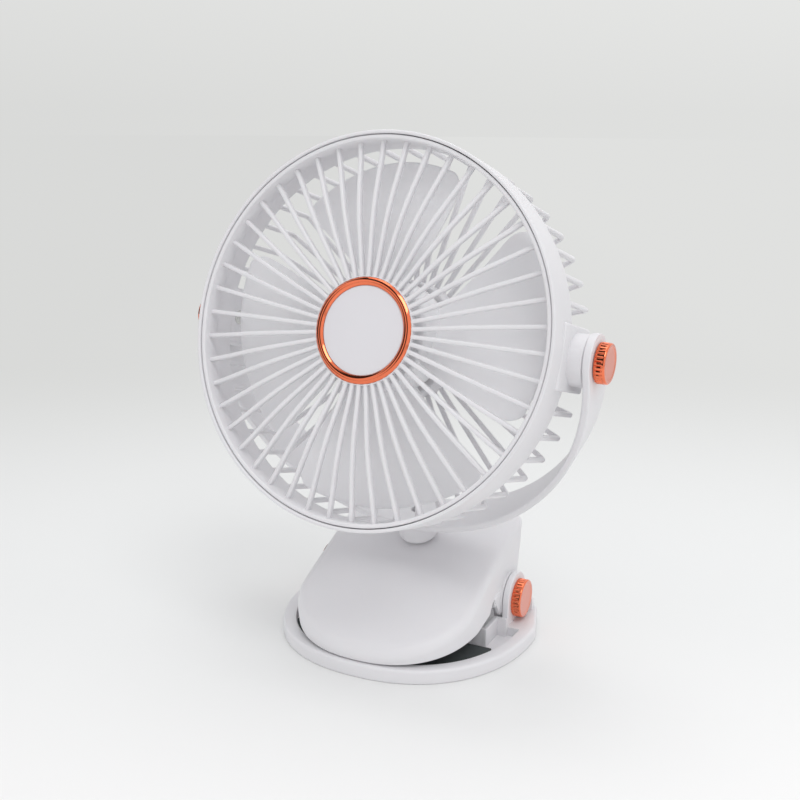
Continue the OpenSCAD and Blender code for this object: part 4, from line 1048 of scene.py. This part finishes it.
def clip_facts(clip, yoke):
    """The swivel seat and the slopes in the shell's own frame."""
    nose_y, nose_z = -(clip.plate_front - 1.9), clip.rim_h + 0.4
    c, s = math.cos(math.radians(clip.under_slope)), math.sin(math.radians(clip.under_slope))
    seat_y = -nose_y * c + (yoke.seat_z - nose_z) * s
    seat_z = (yoke.seat_z - nose_z) * c + nose_y * s
    return SimpleNamespace(
        seat_y=seat_y, seat_z=seat_z,
        front=math.radians(clip.top_slope - clip.under_slope),
        rear=math.radians(yoke.lean - clip.under_slope),
        back=math.radians(clip.back_lean),
    )


def shell_field(clip, yoke, inset=0.0):
    """Signed distance to the shell's form: a rounded nose outline, two sloping tops, a
    drafted side, a leaning back and a flat underside, each edge rounded by its radius."""
    facts = clip_facts(clip, yoke)

    def field(p):
        x, y, z = np.abs(p[..., 0]), p[..., 1], p[..., 2]
        up, along = z - facts.seat_z, y - facts.seat_y
        front = (up - along * math.tan(facts.front)) * math.cos(facts.front)
        rear = (up - along * math.tan(facts.rear)) * math.cos(facts.rear)
        top = (front + rear + np.hypot(front - rear, 0.6)) / 2
        below = np.maximum(facts.seat_z + (y - facts.seat_y) * math.tan(facts.front) - z, 0)
        side = x - (clip.half_w - clip.draft + clip.draft * below / facts.seat_z)
        a, b, power = clip.half_w, clip.nose_len, NOSE_POWER
        ahead = np.maximum(b - y, 0)
        mix = (x / a) ** power + (ahead / b) ** power
        root = np.maximum(mix, 1e-6) ** (1 / power)
        slope_x = (x / a) ** (power - 1) / a
        slope_y = (ahead / b) ** (power - 1) / b
        slope = np.hypot(slope_x, slope_y) * np.maximum(mix, 1e-6) ** (1 / power - 1)
        nose = (root - 1) / np.maximum(slope, 1e-4)
        back = (y - clip.shell_len) * math.cos(facts.back) - z * math.sin(facts.back)
        top, side, nose, back = (d + inset for d in (top, side, nose, back))
        r = lambda value: max(0.4, value - inset)
        back_along = np.clip(y / clip.nose_len, 0, 1)
        edge = clip.nose_r + (clip.top_r - clip.nose_r) * back_along
        crown = round_meet(top, np.maximum(side, nose), np.maximum(0.4, edge - inset))
        low = np.clip(-top / 9.0, 0, 1)
        low = low * low * (3 - 2 * low)
        acute = 1 + math.sin(facts.back + facts.rear)
        back_r = acute * r(clip.back_top_r) * (1 - low) + r(clip.rear_r) * low
        return round_meet(crown, back, back_r)

    return field


class FAN_OT_clip_shell(bpy.types.Operator):
    """Makes the clip's moving shell with its soft edges"""

    bl_idname = "clipfan.clip_shell"
    bl_label = "Clip shell"

    def rays(self, rows, cols):
        """Directions over the upper half space, from straight up down to level."""
        level = np.radians(90 * (1 - np.linspace(0, 1, rows) ** 0.9))[:, None]
        t = (np.arange(cols) * 2 * np.pi / cols)[None]
        return np.stack([np.cos(level) * np.cos(t), np.cos(level) * np.sin(t),
                         np.sin(level) * np.ones_like(t)], -1)

    NOTCH = ((-25, -2), (-18.8, 4.4), (-17.8, 4.4), (-17, 0), (-20, -4))

    def lobe(self, clip, side):
        """The hinge lobe beside the ear: a round boss, and the wall that hangs down to it.
        The wall's outline is a circle joined to a wedge ahead of it, both about the pin."""
        inner, outer = clip.half_w - 3.4, clip.ear_in - 0.3
        r, bore = clip.ear_r - 0.3, clip.pin_r + 0.05
        profile = soft_corners([[bore, inner], [r, inner], [r, outer], [bore, outer]],
                               [0.1, 0.1, 0.4, 0.1])
        corners = np.array([[-18, 4.5], [0.3 - r, -5], [0, 0], [0, r - 2], [-18, 5.5]])
        along = np.roll(corners, -1, 0) - corners
        out = np.stack([along[:, 1], -along[:, 0]], -1)
        out /= np.linalg.norm(out, axis=1, keepdims=True)

        def field(p):
            wedge = ((p[:, None] - corners) * out).sum(-1).max(-1)
            return np.minimum(np.linalg.norm(p, axis=-1) - r, wedge)

        t = np.arange(240) * 2 * np.pi / 240
        loop = blown(np.zeros(2), np.stack([np.cos(t), np.sin(t)], -1), field)
        normal = outward(loop)
        low, high = clip.half_w - clip.shell_t, clip.half_w
        edge = [(0.2, low), (0, low + 0.2), (0, high - 0.4), (0.12, high - 0.12), (0.4, high)]
        wall = cut([thick_sheet(loop, normal, edge, (0, 0))], [drill(bore, low - 1, high + 1)])
        shift, place = clip_place(clip), hinge_place(clip, side)
        spot = shift.turn.T @ (place.move - shift.move)
        skins = moved([turned(profile, 96)], shift.turn.T @ place.turn, spot)
        points, faces = wall
        if side < 0:
            faces = [face[::-1] for face in faces]
        return skins + [((points @ place.turn.T) @ shift.turn + spot, faces)]

    def notch(self, clip, side):
        """A prism that cuts the notch in a side wall's lower edge."""
        loop = np.array(self.NOTCH, float)
        near, far = clip.half_w - 5.0, clip.half_w + 3.0
        rows = [np.concatenate([loop.mean(0, keepdims=True).repeat(len(loop), 0) * k
                                + loop * (1 - k), np.full((len(loop), 1), x)], 1)
                for k, x in ((1, near), (0, near), (0, far), (1, far))]
        return hinge_place(clip, side), skin(np.stack(rows))

    def execute(self, context):
        clip, yoke, _ = all_sizes()
        centre = np.array([0.0, 44.0, 0.0])
        outer = blown(centre, self.rays(100, 300), shell_field(clip, yoke))
        inner = blown(centre, self.rays(40, 300), shell_field(clip, yoke, clip.shell_t))
        lip = np.radians([0, 25, 50, 75])[:, None, None]
        edge = 0.4 * np.concatenate([1 - np.cos(lip), 1 - np.sin(lip)], 1)
        rim = outer[-1:] - centre
        reach = np.linalg.norm(rim, axis=-1, keepdims=True)
        low_rim = centre + rim * (1 - edge[:, :1] / reach) + [0, 0, 1] * edge[:, 1:]
        body = skin(np.concatenate([outer[:-1], low_rim, inner[::-1]], 0))
        shift = clip_place(clip)
        seat = swivel_place(yoke)
        down = drill(yoke.stem_r + 0.05, -12, 6)
        back = back_place(clip)
        tools = [(back, drill(clip.button_r + 0.05, -4, 4, 0, clip.back_y)),
                 (back, drill(clip.light_r + 0.05, -4, 4, -clip.light_x, clip.back_y))]
        hole = soft_corners(
            np.array([[1, 1], [-1, 1], [-1, -1], [1, -1]])
            * [clip.port_w / 2 + 0.1, clip.port_h / 2 + 0.1], clip.port_h / 2 + 0.09, 8)
        tube = np.stack([hole * 0, hole, hole, hole * 0])
        height = np.array([-4.0, -4.0, 4.0, 4.0])[:, None, None] * np.ones_like(tube[..., :1])
        port = np.concatenate([tube + [clip.port_x, clip.back_y], height], -1)
        tools += [(back, skin(port)), (seat, down)]
        hinge = hinge_place(clip, 1)
        tools += [(hinge, drill(clip.pin_r + 0.05, -60, 60))]
        tools += [self.notch(clip, side) for side in (-1, 1)]
        cutters = []
        for place, (points, quads) in tools:
            spots = (place.put(points) - shift.move) @ shift.turn
            flip = np.linalg.det(place.turn) < 0
            cutters.append((spots, quads[:, ::-1] if flip else quads))
        skins = [cut([body], cutters)]
        for side in (-1, 1):
            skins += self.lobe(clip, side)
        piece("clip_housing", skins, shift, "clip", paint("white_plastic"),
              ("clip_shell",))
        return {"FINISHED"}


class FAN_OT_power_key(bpy.types.Operator):
    """Makes the round power button with its dished face"""

    bl_idname = "clipfan.power_key"
    bl_label = "Power button"

    def execute(self, context):
        clip = all_sizes()[0]
        r, top = clip.button_r, clip.button_proud
        t = np.linspace(0, 1, 12)[:, None]
        dish = np.concatenate([t * (r - 0.9), top - 0.35 * (1 - t**2)], 1)
        edge = soft_corners([[r - 0.9, top - 0.02], [r, top], [r, -1.9], [0.1, -1.9]],
                            [0.2, 0.45, 0, 0])[6:12]
        profile = np.concatenate([
            dish, edge, [[r, -1.9], [r + 0.9, -1.9], [r + 0.9, -2.6], [0, -2.6]]])
        points, quads = turned(profile, 96, closed=False)
        piece("power_key", [(points + [0, clip.back_y, 0], quads)], back_place(clip), "button",
              paint("cap_white"), ("power_button",))
        return {"FINISHED"}


# ------------------------------------------------------------------ the lower jaw


PLATE_POWER = 2.25  # squareness of the plate's front outline


def plate_loop(clip, number=384, inset=0.0):
    """The plate's outline in equal steps along its edge, and its outward normals: a
    superellipse in front, then straight sides that taper to two round rear corners."""
    half, rear = clip.plate_half_w - inset, clip.plate_rear - inset
    depth = clip.plate_front - clip.plate_wide - inset
    side = clip.plate_flat - clip.plate_wide
    narrow = half - (rear - side) * math.tan(math.radians(clip.plate_taper))
    t = np.radians(np.linspace(-180, 0, 3001))
    c, s = np.cos(t), np.sin(t)
    power = 2 / PLATE_POWER
    front = np.stack([half * np.sign(c) * np.abs(c) ** power,
                      depth * np.sign(s) * np.abs(s) ** power - clip.plate_wide], -1)
    round_r = clip.plate_corner - inset
    behind = soft_corners(
        [[half, -clip.plate_wide], [half, side], [narrow, rear], [-narrow, rear],
         [-half, side], [-half, -clip.plate_wide]], [0, 5, round_r, round_r, 5, 0], 12)
    ring = np.concatenate([front, behind, front[:1]])
    steps = np.linalg.norm(np.diff(ring, axis=0), axis=1)
    ring = ring[np.concatenate([[True], steps > 1e-6])]
    run = np.concatenate([[0], np.cumsum(np.linalg.norm(np.diff(ring, axis=0), axis=1))])
    even = np.arange(number) * run[-1] / number
    loop = np.stack([np.interp(even, run, ring[:, 0]), np.interp(even, run, ring[:, 1])], -1)
    return loop, outward(loop)


def thick_sheet(loop, normal, profile, centre):
    """Rows (inset, height) carried round a flat outline; the first and last row close on
    the centre."""
    rows = [np.concatenate([loop - inset * normal, np.full((len(loop), 1), z)], 1)
            for inset, z in profile]
    for k, z in ((0, profile[0][1]), (len(rows) + 1, profile[-1][1])):
        rows.insert(k, np.tile([centre[0], centre[1], z], (len(loop), 1)))
    return skin(np.stack(rows))


class FAN_OT_jaw_plate(bpy.types.Operator):
    """Makes the lower jaw: rimmed plate, cross wall, ears, feet and fins"""

    bl_idname = "clipfan.jaw_plate"
    bl_label = "Lower jaw"

    def plate(self, clip):
        loop, normal = plate_loop(clip)
        w, h, floor = clip.rim_w, clip.rim_h, clip.floor_t
        corners = [[w + 8, clip.grip_t], [w, clip.grip_t], [w, 0], [0, 0], [0, h], [w, h],
                   [w, floor], [w + 8, floor]]
        profile = soft_corners(corners, [0, 0.1, 0.25, 0.7, 1.3, 0.5, 0.6, 0], 5)[6:-6]
        return thick_sheet(loop, normal, profile, (0, -clip.plate_wide - 12))

    def ear(self, clip, side):
        """A flat ear about the pin: a round top that runs down in two straight sides."""
        t = np.radians(np.concatenate([np.linspace(-180, 180, 193)[:-1]]))
        low = clip.hinge_z - clip.floor_t + 0.5
        straight = np.minimum(clip.ear_r / np.maximum(np.abs(np.cos(t)), 1e-6),
                              low / np.maximum(-np.sin(t), 1e-6))
        outline = np.where(np.sin(t) >= 0, clip.ear_r, straight)
        hole, e = clip.pin_r + 0.05, 0.55
        arc = np.radians(np.linspace(0, 90, 5))
        rows = [(0, 0, 0.0)] + [(1, e * (1 - math.sin(a)), e * (1 - math.cos(a))) for a in arc]
        rows += [(1, e * (1 - math.cos(a)), clip.ear_t - e * (1 - math.sin(a))) for a in arc]
        rows += [(0, 0, clip.ear_t)]
        grid = []
        for out, inset, z in rows:
            r = np.where(out, outline - inset, hole)
            level = np.full_like(t, z + clip.ear_in)
            grid.append(np.stack([r * np.cos(t), r * np.sin(t), level], -1))
        turn = ACROSS.copy()
        turn[0, 2] = side
        return moved([skin(np.stack(grid), wrap_rows=True)], turn,
                     (0, clip.hinge_y, clip.hinge_z))

    def foot(self, clip, side):
        """Raised ground under an ear, out to the plate's edge."""
        loop, _ = plate_loop(clip, 4000, 0.9)
        right = loop[loop[:, 0] > 0]
        order = np.argsort(right[:, 1])
        y_low = clip.hinge_y - clip.ear_r
        y_high = min(y_low + 2 * clip.ear_r + 8, clip.plate_rear - 2.6)
        y = np.linspace(y_low, y_high, 32)
        far = np.interp(y, right[order, 1], right[order, 0])
        section = soft_corners([[0, 1], [1, 1], [1, clip.rim_h - 0.02], [0, clip.rim_h - 0.02]],
                               [0.02, 0.02, 0.2, 0.2], 4)
        near = clip.ear_in
        x = near + (far[:, None] - near) * section[None, :, 0]
        grid = np.stack([x, np.repeat(y[:, None], len(section), 1),
                         np.repeat(section[None, :, 1], len(y), 0)], -1)
        caps = grid.mean(1, keepdims=True).repeat(len(section), 1)
        grid = np.concatenate([caps[:1], grid, caps[-1:]])
        return moved([skin(grid)], np.diag([side, 1.0, 1.0]))

    def fin(self, clip, side):
        """The low fin behind a knob: upright in front, sloping down to the ground behind."""
        y, low, high = clip.hinge_y + clip.ear_r, clip.rim_h - 1, 11.5
        x0 = clip.ear_in + clip.ear_t - 0.5
        x1 = x0 + 4.5
        outline = soft_corners([[y - 2, low], [y + 2.2, low], [y, high], [y - 2, high]],
                               [0.1, 0.1, 0.5, 0.5], 4)
        middle, e = outline.mean(0), 0.4
        arc = np.radians(np.linspace(0, 90, 5))
        rows = [(0.0, x0), (1.0, x0)]
        rows += [(1 - 0.12 * (1 - math.cos(a)), x1 - e * (1 - math.sin(a))) for a in arc]
        rows += [(0.0, x1)]
        grid = [np.concatenate([np.full((len(outline), 1), x), middle + (outline - middle) * k], 1)
                for k, x in rows]
        return moved([skin(np.stack(grid))], np.diag([side, 1.0, 1.0]))

    def execute(self, context):
        clip = all_sizes()[0]
        ahead, low, wide = -clip.wall_front, clip.floor_t - 0.5, clip.half_w - 0.6
        skins = [self.plate(clip)]
        apart = 0.04
        skins.append(soft_box((0.5 - wide, ahead, low),
                              (wide - 0.5, ahead + clip.wall_t, clip.wall_h), 0.4))
        for side in (-1, 1):
            skins += self.ear(clip, side) + self.foot(clip, side) + self.fin(clip, side)
            end = clip.hinge_y - clip.ear_r + 0.5
            near = wide - clip.wall_t
            wall = soft_box((near, ahead - apart, low - apart),
                            (wide, end - 0.3, clip.wall_h + apart), 0.4)
            back = soft_box((near + 0.3, end - clip.wall_t, low - 2 * apart),
                            (clip.ear_in + clip.ear_t - apart, end, clip.wall_h - apart), 0.4)
            skins += moved([wall, back], np.diag([side, 1.0, 1.0]))
        piece("jaw_plate", skins, Place(), "base", paint("white_plastic"),
              ("lower_jaw",))
        return {"FINISHED"}


class FAN_OT_rubber(bpy.types.Operator):
    """Makes the rubber pads of both jaws and the anti-slip sheet"""

    bl_idname = "clipfan.rubber"
    bl_label = "Rubber pads"

    def flat_pad(self, field, centre, low, high, edge=0.4, number=256):
        """A flat pad: a ray from the centre finds its outline, and its top edge is round."""
        t = np.arange(number) * 2 * np.pi / number
        rays = np.stack([np.cos(t), np.sin(t)], -1)
        loop = blown(np.asarray(centre, float), rays, field)
        normal = outward(loop)
        arc = np.radians(np.linspace(0, 90, 5))
        profile = [(0.15, low), (0, low + 0.15)]
        profile += [(edge * (1 - math.cos(a)), high - edge * (1 - math.sin(a))) for a in arc]
        return thick_sheet(loop, normal, profile, centre)

    def plate_field(self, clip, inset):
        def field(p):
            x, y = np.abs(p[..., 0]), np.minimum(p[..., 1] + clip.plate_wide, 0)
            depth = clip.plate_front - clip.plate_wide - inset
            wide = clip.plate_half_w - inset
            return (x / wide) ** PLATE_POWER + (-y / depth) ** PLATE_POWER - 1
        return field

    def execute(self, context):
        clip = all_sizes()[0]
        plate = self.plate_field(clip, clip.rim_w + 0.1)
        back = -clip.wall_front - 1.6
        half = clip.plate_half_w - clip.rim_w - 6.5

        def pad(p):
            cut_off = np.maximum(np.abs(p[..., 0]) - half, p[..., 1] - back)
            return np.maximum(plate(p) * 25.0, cut_off)

        top = self.flat_pad(pad, (0, -38), clip.floor_t, clip.floor_t + clip.pad_t, 0.3)
        piece("plate_pad", [top], Place(), "base", paint("dark_rubber"),
              ("lower_pad",))
        loop, normal = plate_loop(clip, 384, clip.rim_w + 0.1)
        profile = [(0.15, 0.0), (0, 0.15), (0, clip.grip_t - 0.15), (0.15, clip.grip_t)]
        sheet = thick_sheet(loop, normal, profile, (0, -20))
        piece("grip_sheet", [sheet], Place(), "base", paint("dark_rubber"),
              ("base_grip",))

        def nose(p):
            x, y = np.abs(p[..., 0]), p[..., 1]
            a, b = clip.half_w - 6.0, clip.nose_len - 6.0
            ahead = np.maximum(clip.nose_len - y, 0)
            form = (x / a) ** NOSE_POWER + (ahead / b) ** NOSE_POWER - 1
            return np.maximum(form * 25.0, y - 30.0)

        upper = self.flat_pad(nose, (0, 20), 0.0, 1.8, 0.4)
        upper = moved([upper], np.diag([1.0, 1.0, -1.0]), (0, 0, 0.3))
        piece("upper_pad", upper, clip_place(clip), "clip", paint("dark_rubber"),
              ("jaw_pad",))
        return {"FINISHED"}


class FAN_OT_inner_parts(bpy.types.Operator):
    """Gives every carried-over solid the material of its slot"""

    bl_idname = "clipfan.inner_parts"
    bl_label = "Inner parts"

    SLOTS = {
        "steel": ("hinge_pin", "cover_screws", "swivel_nut", "tilt_pin_left", "tilt_pin_right",
                  "front_bearing", "rear_bearing", "bay_screws", "motor_shaft"),
        "spring_steel": ("torsion_spring",),
        "white_matte": ("clip_cover", "bay_cap"),
        "cell_wrap": ("battery_cell",),
        "board_green": ("control_board", "drive_board"),
        "black_plastic": ("key_switch", "swivel_washer", "tilt_washer_left", "tilt_washer_right"),
        "port_metal": ("charging_port",),
        "light_lens": ("status_light",),
        "brass": ("bearing_tube",),
        "core_steel": ("stator_core",),
        "copper_wire": ("stator_windings",),
        "lead_sheath": ("motor_lead",),
        "can_steel": ("rotor_can",),
        "magnet_black": ("magnet_ring",),
    }

    def execute(self, context):
        for slot, nodes in self.SLOTS.items():
            for name in nodes:
                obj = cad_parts[name]
                for k in range(max(1, len(obj.material_slots))):
                    if not obj.material_slots:
                        obj.data.materials.append(paint(slot))
                    obj.material_slots[k].material = paint(slot)
        return {"FINISHED"}


# ------------------------------------------------------------------ the stage


class FAN_OT_stage(bpy.types.Operator):
    """Makes the pale floor, the soft lights and the camera"""

    bl_idname = "clipfan.stage"
    bl_label = "Stage"

    def camera(self, look):
        th, e, roll = (math.radians(v) for v in (look.azimuth, look.elevation, look.roll))
        right = Vector((math.cos(th), math.sin(th), 0))
        ahead = Vector((-math.sin(th) * math.cos(e), math.cos(th) * math.cos(e), -math.sin(e)))
        up = right.cross(ahead)
        right, up = (right * math.cos(roll) + up * math.sin(roll),
                     up * math.cos(roll) - right * math.sin(roll))
        aim = Vector((0, -28.945, 133.474))
        place = aim + right * look.offset_x - up * look.offset_y - ahead * look.distance
        data = bpy.data.cameras.new("camera")
        data.lens, data.sensor_width = look.focal, 36.0
        data.clip_start, data.clip_end = 0.02, 50.0
        obj = bpy.data.objects.new("camera", data)
        bpy.context.scene.collection.objects.link(obj)
        turn = Matrix((right, up, -ahead)).transposed().to_4x4()
        obj.matrix_world = Matrix.Translation(place * MM) @ turn
        bpy.context.scene.camera = obj
        return obj

    def across(self, tree, look, scale):
        """Along the view (Y) and across it (X), and a slight painted brightening to the right:
        painted light on the floor and backdrop.
        """
        node, link = tree.nodes.new, tree.links.new
        spot = node("ShaderNodeTexCoord")
        turn = node("ShaderNodeMapping")
        turn.inputs["Rotation"].default_value = (0, 0, -math.radians(look.azimuth))
        split = node("ShaderNodeSeparateXYZ")
        link(turn.outputs["Vector"], split.inputs["Vector"])
        side = node("ShaderNodeMapRange")
        side.inputs["From Min"].default_value = -scale
        side.inputs["From Max"].default_value = scale
        side.inputs["To Min"].default_value = 0.965
        side.inputs["To Max"].default_value = 1.035
        link(split.outputs["X"], side.inputs["Value"])
        return spot, turn, split, side

    def shaded(self, tree, colour, side):
        """A colour made lighter to the right and darker to the left by the sideways level: painted
        light and shade.
        """
        scale = tree.nodes.new("ShaderNodeVectorMath")
        scale.operation = "SCALE"
        tree.links.new(colour, scale.inputs[0])
        tree.links.new(side.outputs["Result"], scale.inputs["Scale"])
        return scale.outputs["Vector"]

    def floor(self, look):
        """A wide round floor that takes the fan's shadow and fades into the backdrop."""
        r = np.concatenate([np.linspace(0, 0.9, 16), np.linspace(1.2, 9, 14)]) * 1000
        t = np.arange(96) * 2 * np.pi / 96
        grid = np.stack([r[:, None] * np.cos(t), r[:, None] * np.sin(t),
                         np.zeros((len(r), 96))], -1)
        mesh = bpy.data.meshes.new("floor")
        quads = grid_faces(len(r), 96, False, True)
        mesh.from_pydata((grid.reshape(-1, 3) * MM).tolist(), [], quads.tolist())
        mesh.validate()
        obj = bpy.data.objects.new("floor", mesh)
        bpy.context.scene.collection.objects.link(obj)
        material = bpy.data.materials.new("pale floor")
        material.use_nodes = True
        tree = material.node_tree
        node, link = tree.nodes.new, tree.links.new
        shader = tree.nodes["Principled BSDF"]
        shader.inputs["Roughness"].default_value = 0.75
        shader.inputs["Specular IOR Level"].default_value = 0.1
        spot, turn, split, side = self.across(tree, look, 0.35)
        link(spot.outputs["Object"], turn.inputs["Vector"])
        # Painted light falloff: the floor's colour runs from pale in front to darker behind.
        reach = node("ShaderNodeMapRange")
        reach.inputs["From Min"].default_value = -0.20
        reach.inputs["From Max"].default_value = 0.50
        link(split.outputs["Y"], reach.inputs["Value"])
        ramp = node("ShaderNodeValToRGB")
        ramp.color_ramp.interpolation = "EASE"
        ramp.color_ramp.elements[0].color = (*look.floor_near, 1)
        ramp.color_ramp.elements[1].color = (*look.floor_far, 1)
        middle = ramp.color_ramp.elements.new(0.33)
        middle.color = (*look.floor_mid, 1)
        link(reach.outputs["Result"], ramp.inputs["Fac"])
        length_of = node("ShaderNodeVectorMath")
        length_of.operation = "LENGTH"
        link(spot.outputs["Object"], length_of.inputs[0])
        away = node("ShaderNodeMapRange")
        away.interpolation_type = "SMOOTHSTEP"
        away.inputs["From Min"].default_value = 0.45
        away.inputs["From Max"].default_value = 1.60
        link(length_of.outputs["Value"], away.inputs["Value"])
        level = node("ShaderNodeMixRGB")
        level.inputs["Color2"].default_value = (*look.backdrop, 1)
        link(away.outputs["Result"], level.inputs["Fac"])
        link(ramp.outputs["Color"], level.inputs["Color1"])
        # Painted light: the floor's colour is lighter to the right.
        tone = self.shaded(tree, level.outputs["Color"], side)
        link(tone, shader.inputs["Base Color"])
        glow = node("ShaderNodeEmission")
        link(tone, glow.inputs["Color"])
        fade = node("ShaderNodeMapRange")
        fade.interpolation_type = "SMOOTHSTEP"
        fade.inputs["From Min"].default_value = 0.16
        fade.inputs["From Max"].default_value = 0.60
        link(length_of.outputs["Value"], fade.inputs["Value"])
        path = node("ShaderNodeLightPath")
        seen = node("ShaderNodeMath")
        seen.operation = "MULTIPLY"
        link(path.outputs["Is Camera Ray"], seen.inputs[0])
        link(fade.outputs["Result"], seen.inputs[1])
        mix = node("ShaderNodeMixShader")
        link(seen.outputs["Value"], mix.inputs["Fac"])
        link(shader.outputs["BSDF"], mix.inputs[1])
        link(glow.outputs["Emission"], mix.inputs[2])
        link(mix.outputs["Shader"], tree.nodes["Material Output"].inputs["Surface"])
        mesh.materials.append(material)

    def world(self, look):
        """Even light from all round, a lighter side for reflections, and the pale backdrop."""
        world = bpy.data.worlds.new("studio")
        bpy.context.scene.world = world
        world.use_nodes = True
        tree = world.node_tree
        node, link = tree.nodes.new, tree.links.new
        spot, turn, split, side = self.across(tree, look, 0.35)
        link(spot.outputs["Generated"], turn.inputs["Vector"])
        # Painted light: the backdrop's colour turns paler higher up.
        rise = node("ShaderNodeMapRange")
        rise.inputs["From Min"].default_value = 0.0
        rise.inputs["From Max"].default_value = 0.12
        link(split.outputs["Z"], rise.inputs["Value"])
        sky = node("ShaderNodeValToRGB")
        sky.color_ramp.elements[0].color = (*look.backdrop, 1)
        sky.color_ramp.elements[1].color = (*look.backdrop_high, 1)
        link(rise.outputs["Result"], sky.inputs["Fac"])
        back = tree.nodes["Background"]
        # Painted light: the backdrop's colour is lighter to the right.
        link(self.shaded(tree, sky.outputs["Color"], side), back.inputs["Color"])
        fill = node("ShaderNodeBackground")
        fill.inputs["Color"].default_value = (0.985, 0.99, 1.0, 1)
        fill.inputs["Strength"].default_value = look.fill
        room = node("ShaderNodeBackground")
        ramp = node("ShaderNodeValToRGB")
        dark, pale = (0.04, 0.04, 0.045, 1), (0.95, 0.95, 0.95, 1)
        ramp.color_ramp.elements[0].color = dark
        ramp.color_ramp.elements[1].color = pale
        for position, shade in ((0.06, dark), (0.085, pale), (0.125, pale), (0.155, dark),
                                (0.36, dark), (0.46, pale)):
            ramp.color_ramp.elements.new(position).color = shade
        level = node("ShaderNodeMapRange")
        level.inputs["From Min"].default_value = -1.0
        level.inputs["From Max"].default_value = 1.0
        link(split.outputs["X"], level.inputs["Value"])
        link(level.outputs["Result"], ramp.inputs["Fac"])
        link(ramp.outputs["Color"], room.inputs["Color"])
        path = node("ShaderNodeLightPath")
        glossy = node("ShaderNodeMixShader")
        link(path.outputs["Is Glossy Ray"], glossy.inputs["Fac"])
        link(fill.outputs["Background"], glossy.inputs[1])
        link(room.outputs["Background"], glossy.inputs[2])
        seen = node("ShaderNodeMixShader")
        link(path.outputs["Is Camera Ray"], seen.inputs["Fac"])
        link(glossy.outputs["Shader"], seen.inputs[1])
        link(back.outputs["Background"], seen.inputs[2])
        link(seen.outputs["Shader"], tree.nodes["World Output"].inputs["Surface"])

    def lamp(self, name, place, aim, size, power, tint=(1, 1, 1)):
        data = bpy.data.lights.new(name, "AREA")
        data.shape, data.size = "DISK", size
        data.energy, data.color = power, tint
        obj = bpy.data.objects.new(name, data)
        bpy.context.scene.collection.objects.link(obj)
        ahead = (Vector(aim) - Vector(place)).normalized()
        turn = ahead.to_track_quat("-Z", "Y").to_matrix().to_4x4()
        obj.matrix_world = Matrix.Translation(place) @ turn

    def execute(self, context):
        look = values(context.scene.fan_stage)
        self.camera(look)
        self.floor(look)
        self.world(look)
        self.lamp("key", (0.55, -0.55, 1.25), (0, -0.02, 0.1), 0.7, 3.6)
        self.lamp("top", (-0.2, 0.3, 1.3), (0, 0, 0.1), 0.9, 2.4)
        context.scene.view_settings.view_transform = "Standard"
        return {"FINISHED"}


# ------------------------------------------------------------------ panel and start


STEPS = (
    FAN_OT_stage,
    FAN_OT_front_guard,
    FAN_OT_hub_trim,
    FAN_OT_rear_guard,
    FAN_OT_fan_blades,
    FAN_OT_knobs,
    FAN_OT_yoke,
    FAN_OT_clip_shell,
    FAN_OT_power_key,
    FAN_OT_jaw_plate,
    FAN_OT_rubber,
    FAN_OT_inner_parts,
)


class FAN_PT_panel(bpy.types.Panel):
    """Lists the fan's pieces in the sidebar"""

    bl_idname = "FAN_PT_panel"
    bl_label = "Clip Fan"
    bl_space_type = "VIEW_3D"
    bl_region_type = "UI"
    bl_category = "Clip Fan"

    def draw(self, context):
        for step in STEPS:
            self.layout.operator(step.bl_idname, text=step.bl_label)


GROUPS = {
    "fan_clip": ClipSizes,
    "fan_yoke": YokeSizes,
    "fan_head": HeadSizes,
    "fan_finish": Finishes,
    "fan_stage": StageLook,
}


def register():
    for group in GROUPS.values():
        bpy.utils.register_class(group)
    for name, group in GROUPS.items():
        setattr(bpy.types.Scene, name, bpy.props.PointerProperty(type=group))
    for step in STEPS:
        bpy.utils.register_class(step)
    bpy.utils.register_class(FAN_PT_panel)


def unregister():
    bpy.utils.unregister_class(FAN_PT_panel)
    for step in reversed(STEPS):
        bpy.utils.unregister_class(step)
    for name in GROUPS:
        delattr(bpy.types.Scene, name)
    for group in reversed(GROUPS.values()):
        bpy.utils.unregister_class(group)


def main():
    register()
    for step in STEPS:
        group, name = step.bl_idname.split(".")
        getattr(getattr(bpy.ops, group), name)()


if __name__ == "__main__":
    main()
